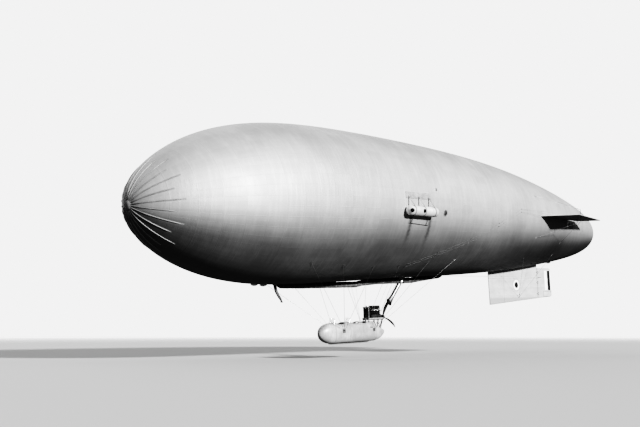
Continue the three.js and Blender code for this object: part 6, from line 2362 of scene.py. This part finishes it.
propeller = screw.make("propeller_dressed", "propeller", "ash_wood", finishes, ["propeller"], 0, 40)
layer = propeller.data.uv_layers.new(name="along_and_through")
for loop in propeller.data.loops:
    p = propeller.data.vertices[loop.vertex_index].co - shaft
    layer.data[loop.index].uv = (hypot(p.y, p.z), p.x * 4)
print("propeller UV:", layer.name)

# %% [markdown]
# ## Control wires
# Each horn is worked by a wire that runs forward to an eye on the hull and from there along the skin to
# the car. The last stretch moves at one end only. Such a wire could be a curve hooked to two empties; here
# it is a straight tube of two rings from the horn to the first eye, set on no body.

# %% Control wires
WIRE = 0.0016
PLANE_RUN = ((14.2, 2.5), (12.8, -14), (11.4, -30), (10.0, -44), (8.9, -56))  # eyes: station, height
RUDDER_RUN = ((12.3, -83), (10.9, -80), (9.7, -76), (8.75, -70))
GATE_AFT, GATE_OUT, GATE_Z = 2.05, 0.21, CAR_DATUM + 0.12  # where they enter the car
EYE_FOOT = ((0, -0.002), (0.02, -0.002), (0.017, 0.003), (0.004, 0.005), (0.003, 0.016), (0, 0.017))


def moving_wire(name, tip, end):
    """A straight wire from a point on a moving plane to one on the ship."""
    wire = Shape()
    wire.tube([tip, end], WIRE, 8)
    piece = wire.make(name, None, "steel", [dark_metal])
    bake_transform(piece)


def wire_run(shape, run, side, shift, low):
    """Wires from eye to eye along the hull and down to the car. It returns the place of the first eye."""
    spots = [(station, turn_of(side, height + shift)) for station, height in run]
    places = [on_skin(*spot, 0.02) for spot in spots]
    for a, b in zip(places, [*places[1:], low]):
        shape.tube([a, b], WIRE, 8)
    for spot, at in zip(spots, places):
        way = off_skin(*spot)
        foot = at - way * 0.02
        shape.turned(EYE_FOOT, foot, way, 16)
        eye(shape, foot + way * 0.02, AFT, 0.006, 0.0015)
    return places[0]


for side, word in SIDES:
    runs = Shape()
    for up, level in ((1, "up"), (-1, "down")):
        tip = Vector((HINGE_X + HORN_AFT, side * ELEVATOR_HORN_OUT, PLANE_Z + up * (HORN_REACH - 0.006)))
        low = Vector((car_x(GATE_AFT) + 0.03 * up, side * GATE_OUT, GATE_Z))
        first = wire_run(runs, PLANE_RUN, side, 1.5 * up, low)
        moving_wire(f"{word}_elevator_wire_{level}", tip, first)
    tip = Vector((HINGE_X + HORN_AFT, side * (HORN_REACH - 0.006), RUDDER_HORN_Z))
    first = wire_run(runs, RUDDER_RUN, side, 0, Vector((car_x(GATE_AFT - 0.05), side * GATE_OUT, GATE_Z)))
    moving_wire(f"{word}_rudder_wire", tip, first)
    runs.box((0.12, 0.012, 0.03), (car_x(GATE_AFT) - 0.01, side * (GATE_OUT - 0.004), GATE_Z))
    runs.make(f"{word}_control_runs", "ship", "steel", [dark_metal])

# %% [markdown]
# ## Size
# The looks must not outgrow the solids. The box round everything that is drawn is printed.

# %% Print the size of what is drawn
low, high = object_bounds()
print("visual box:", [round(c, 3) for c in low], [round(c, 3) for c in high])
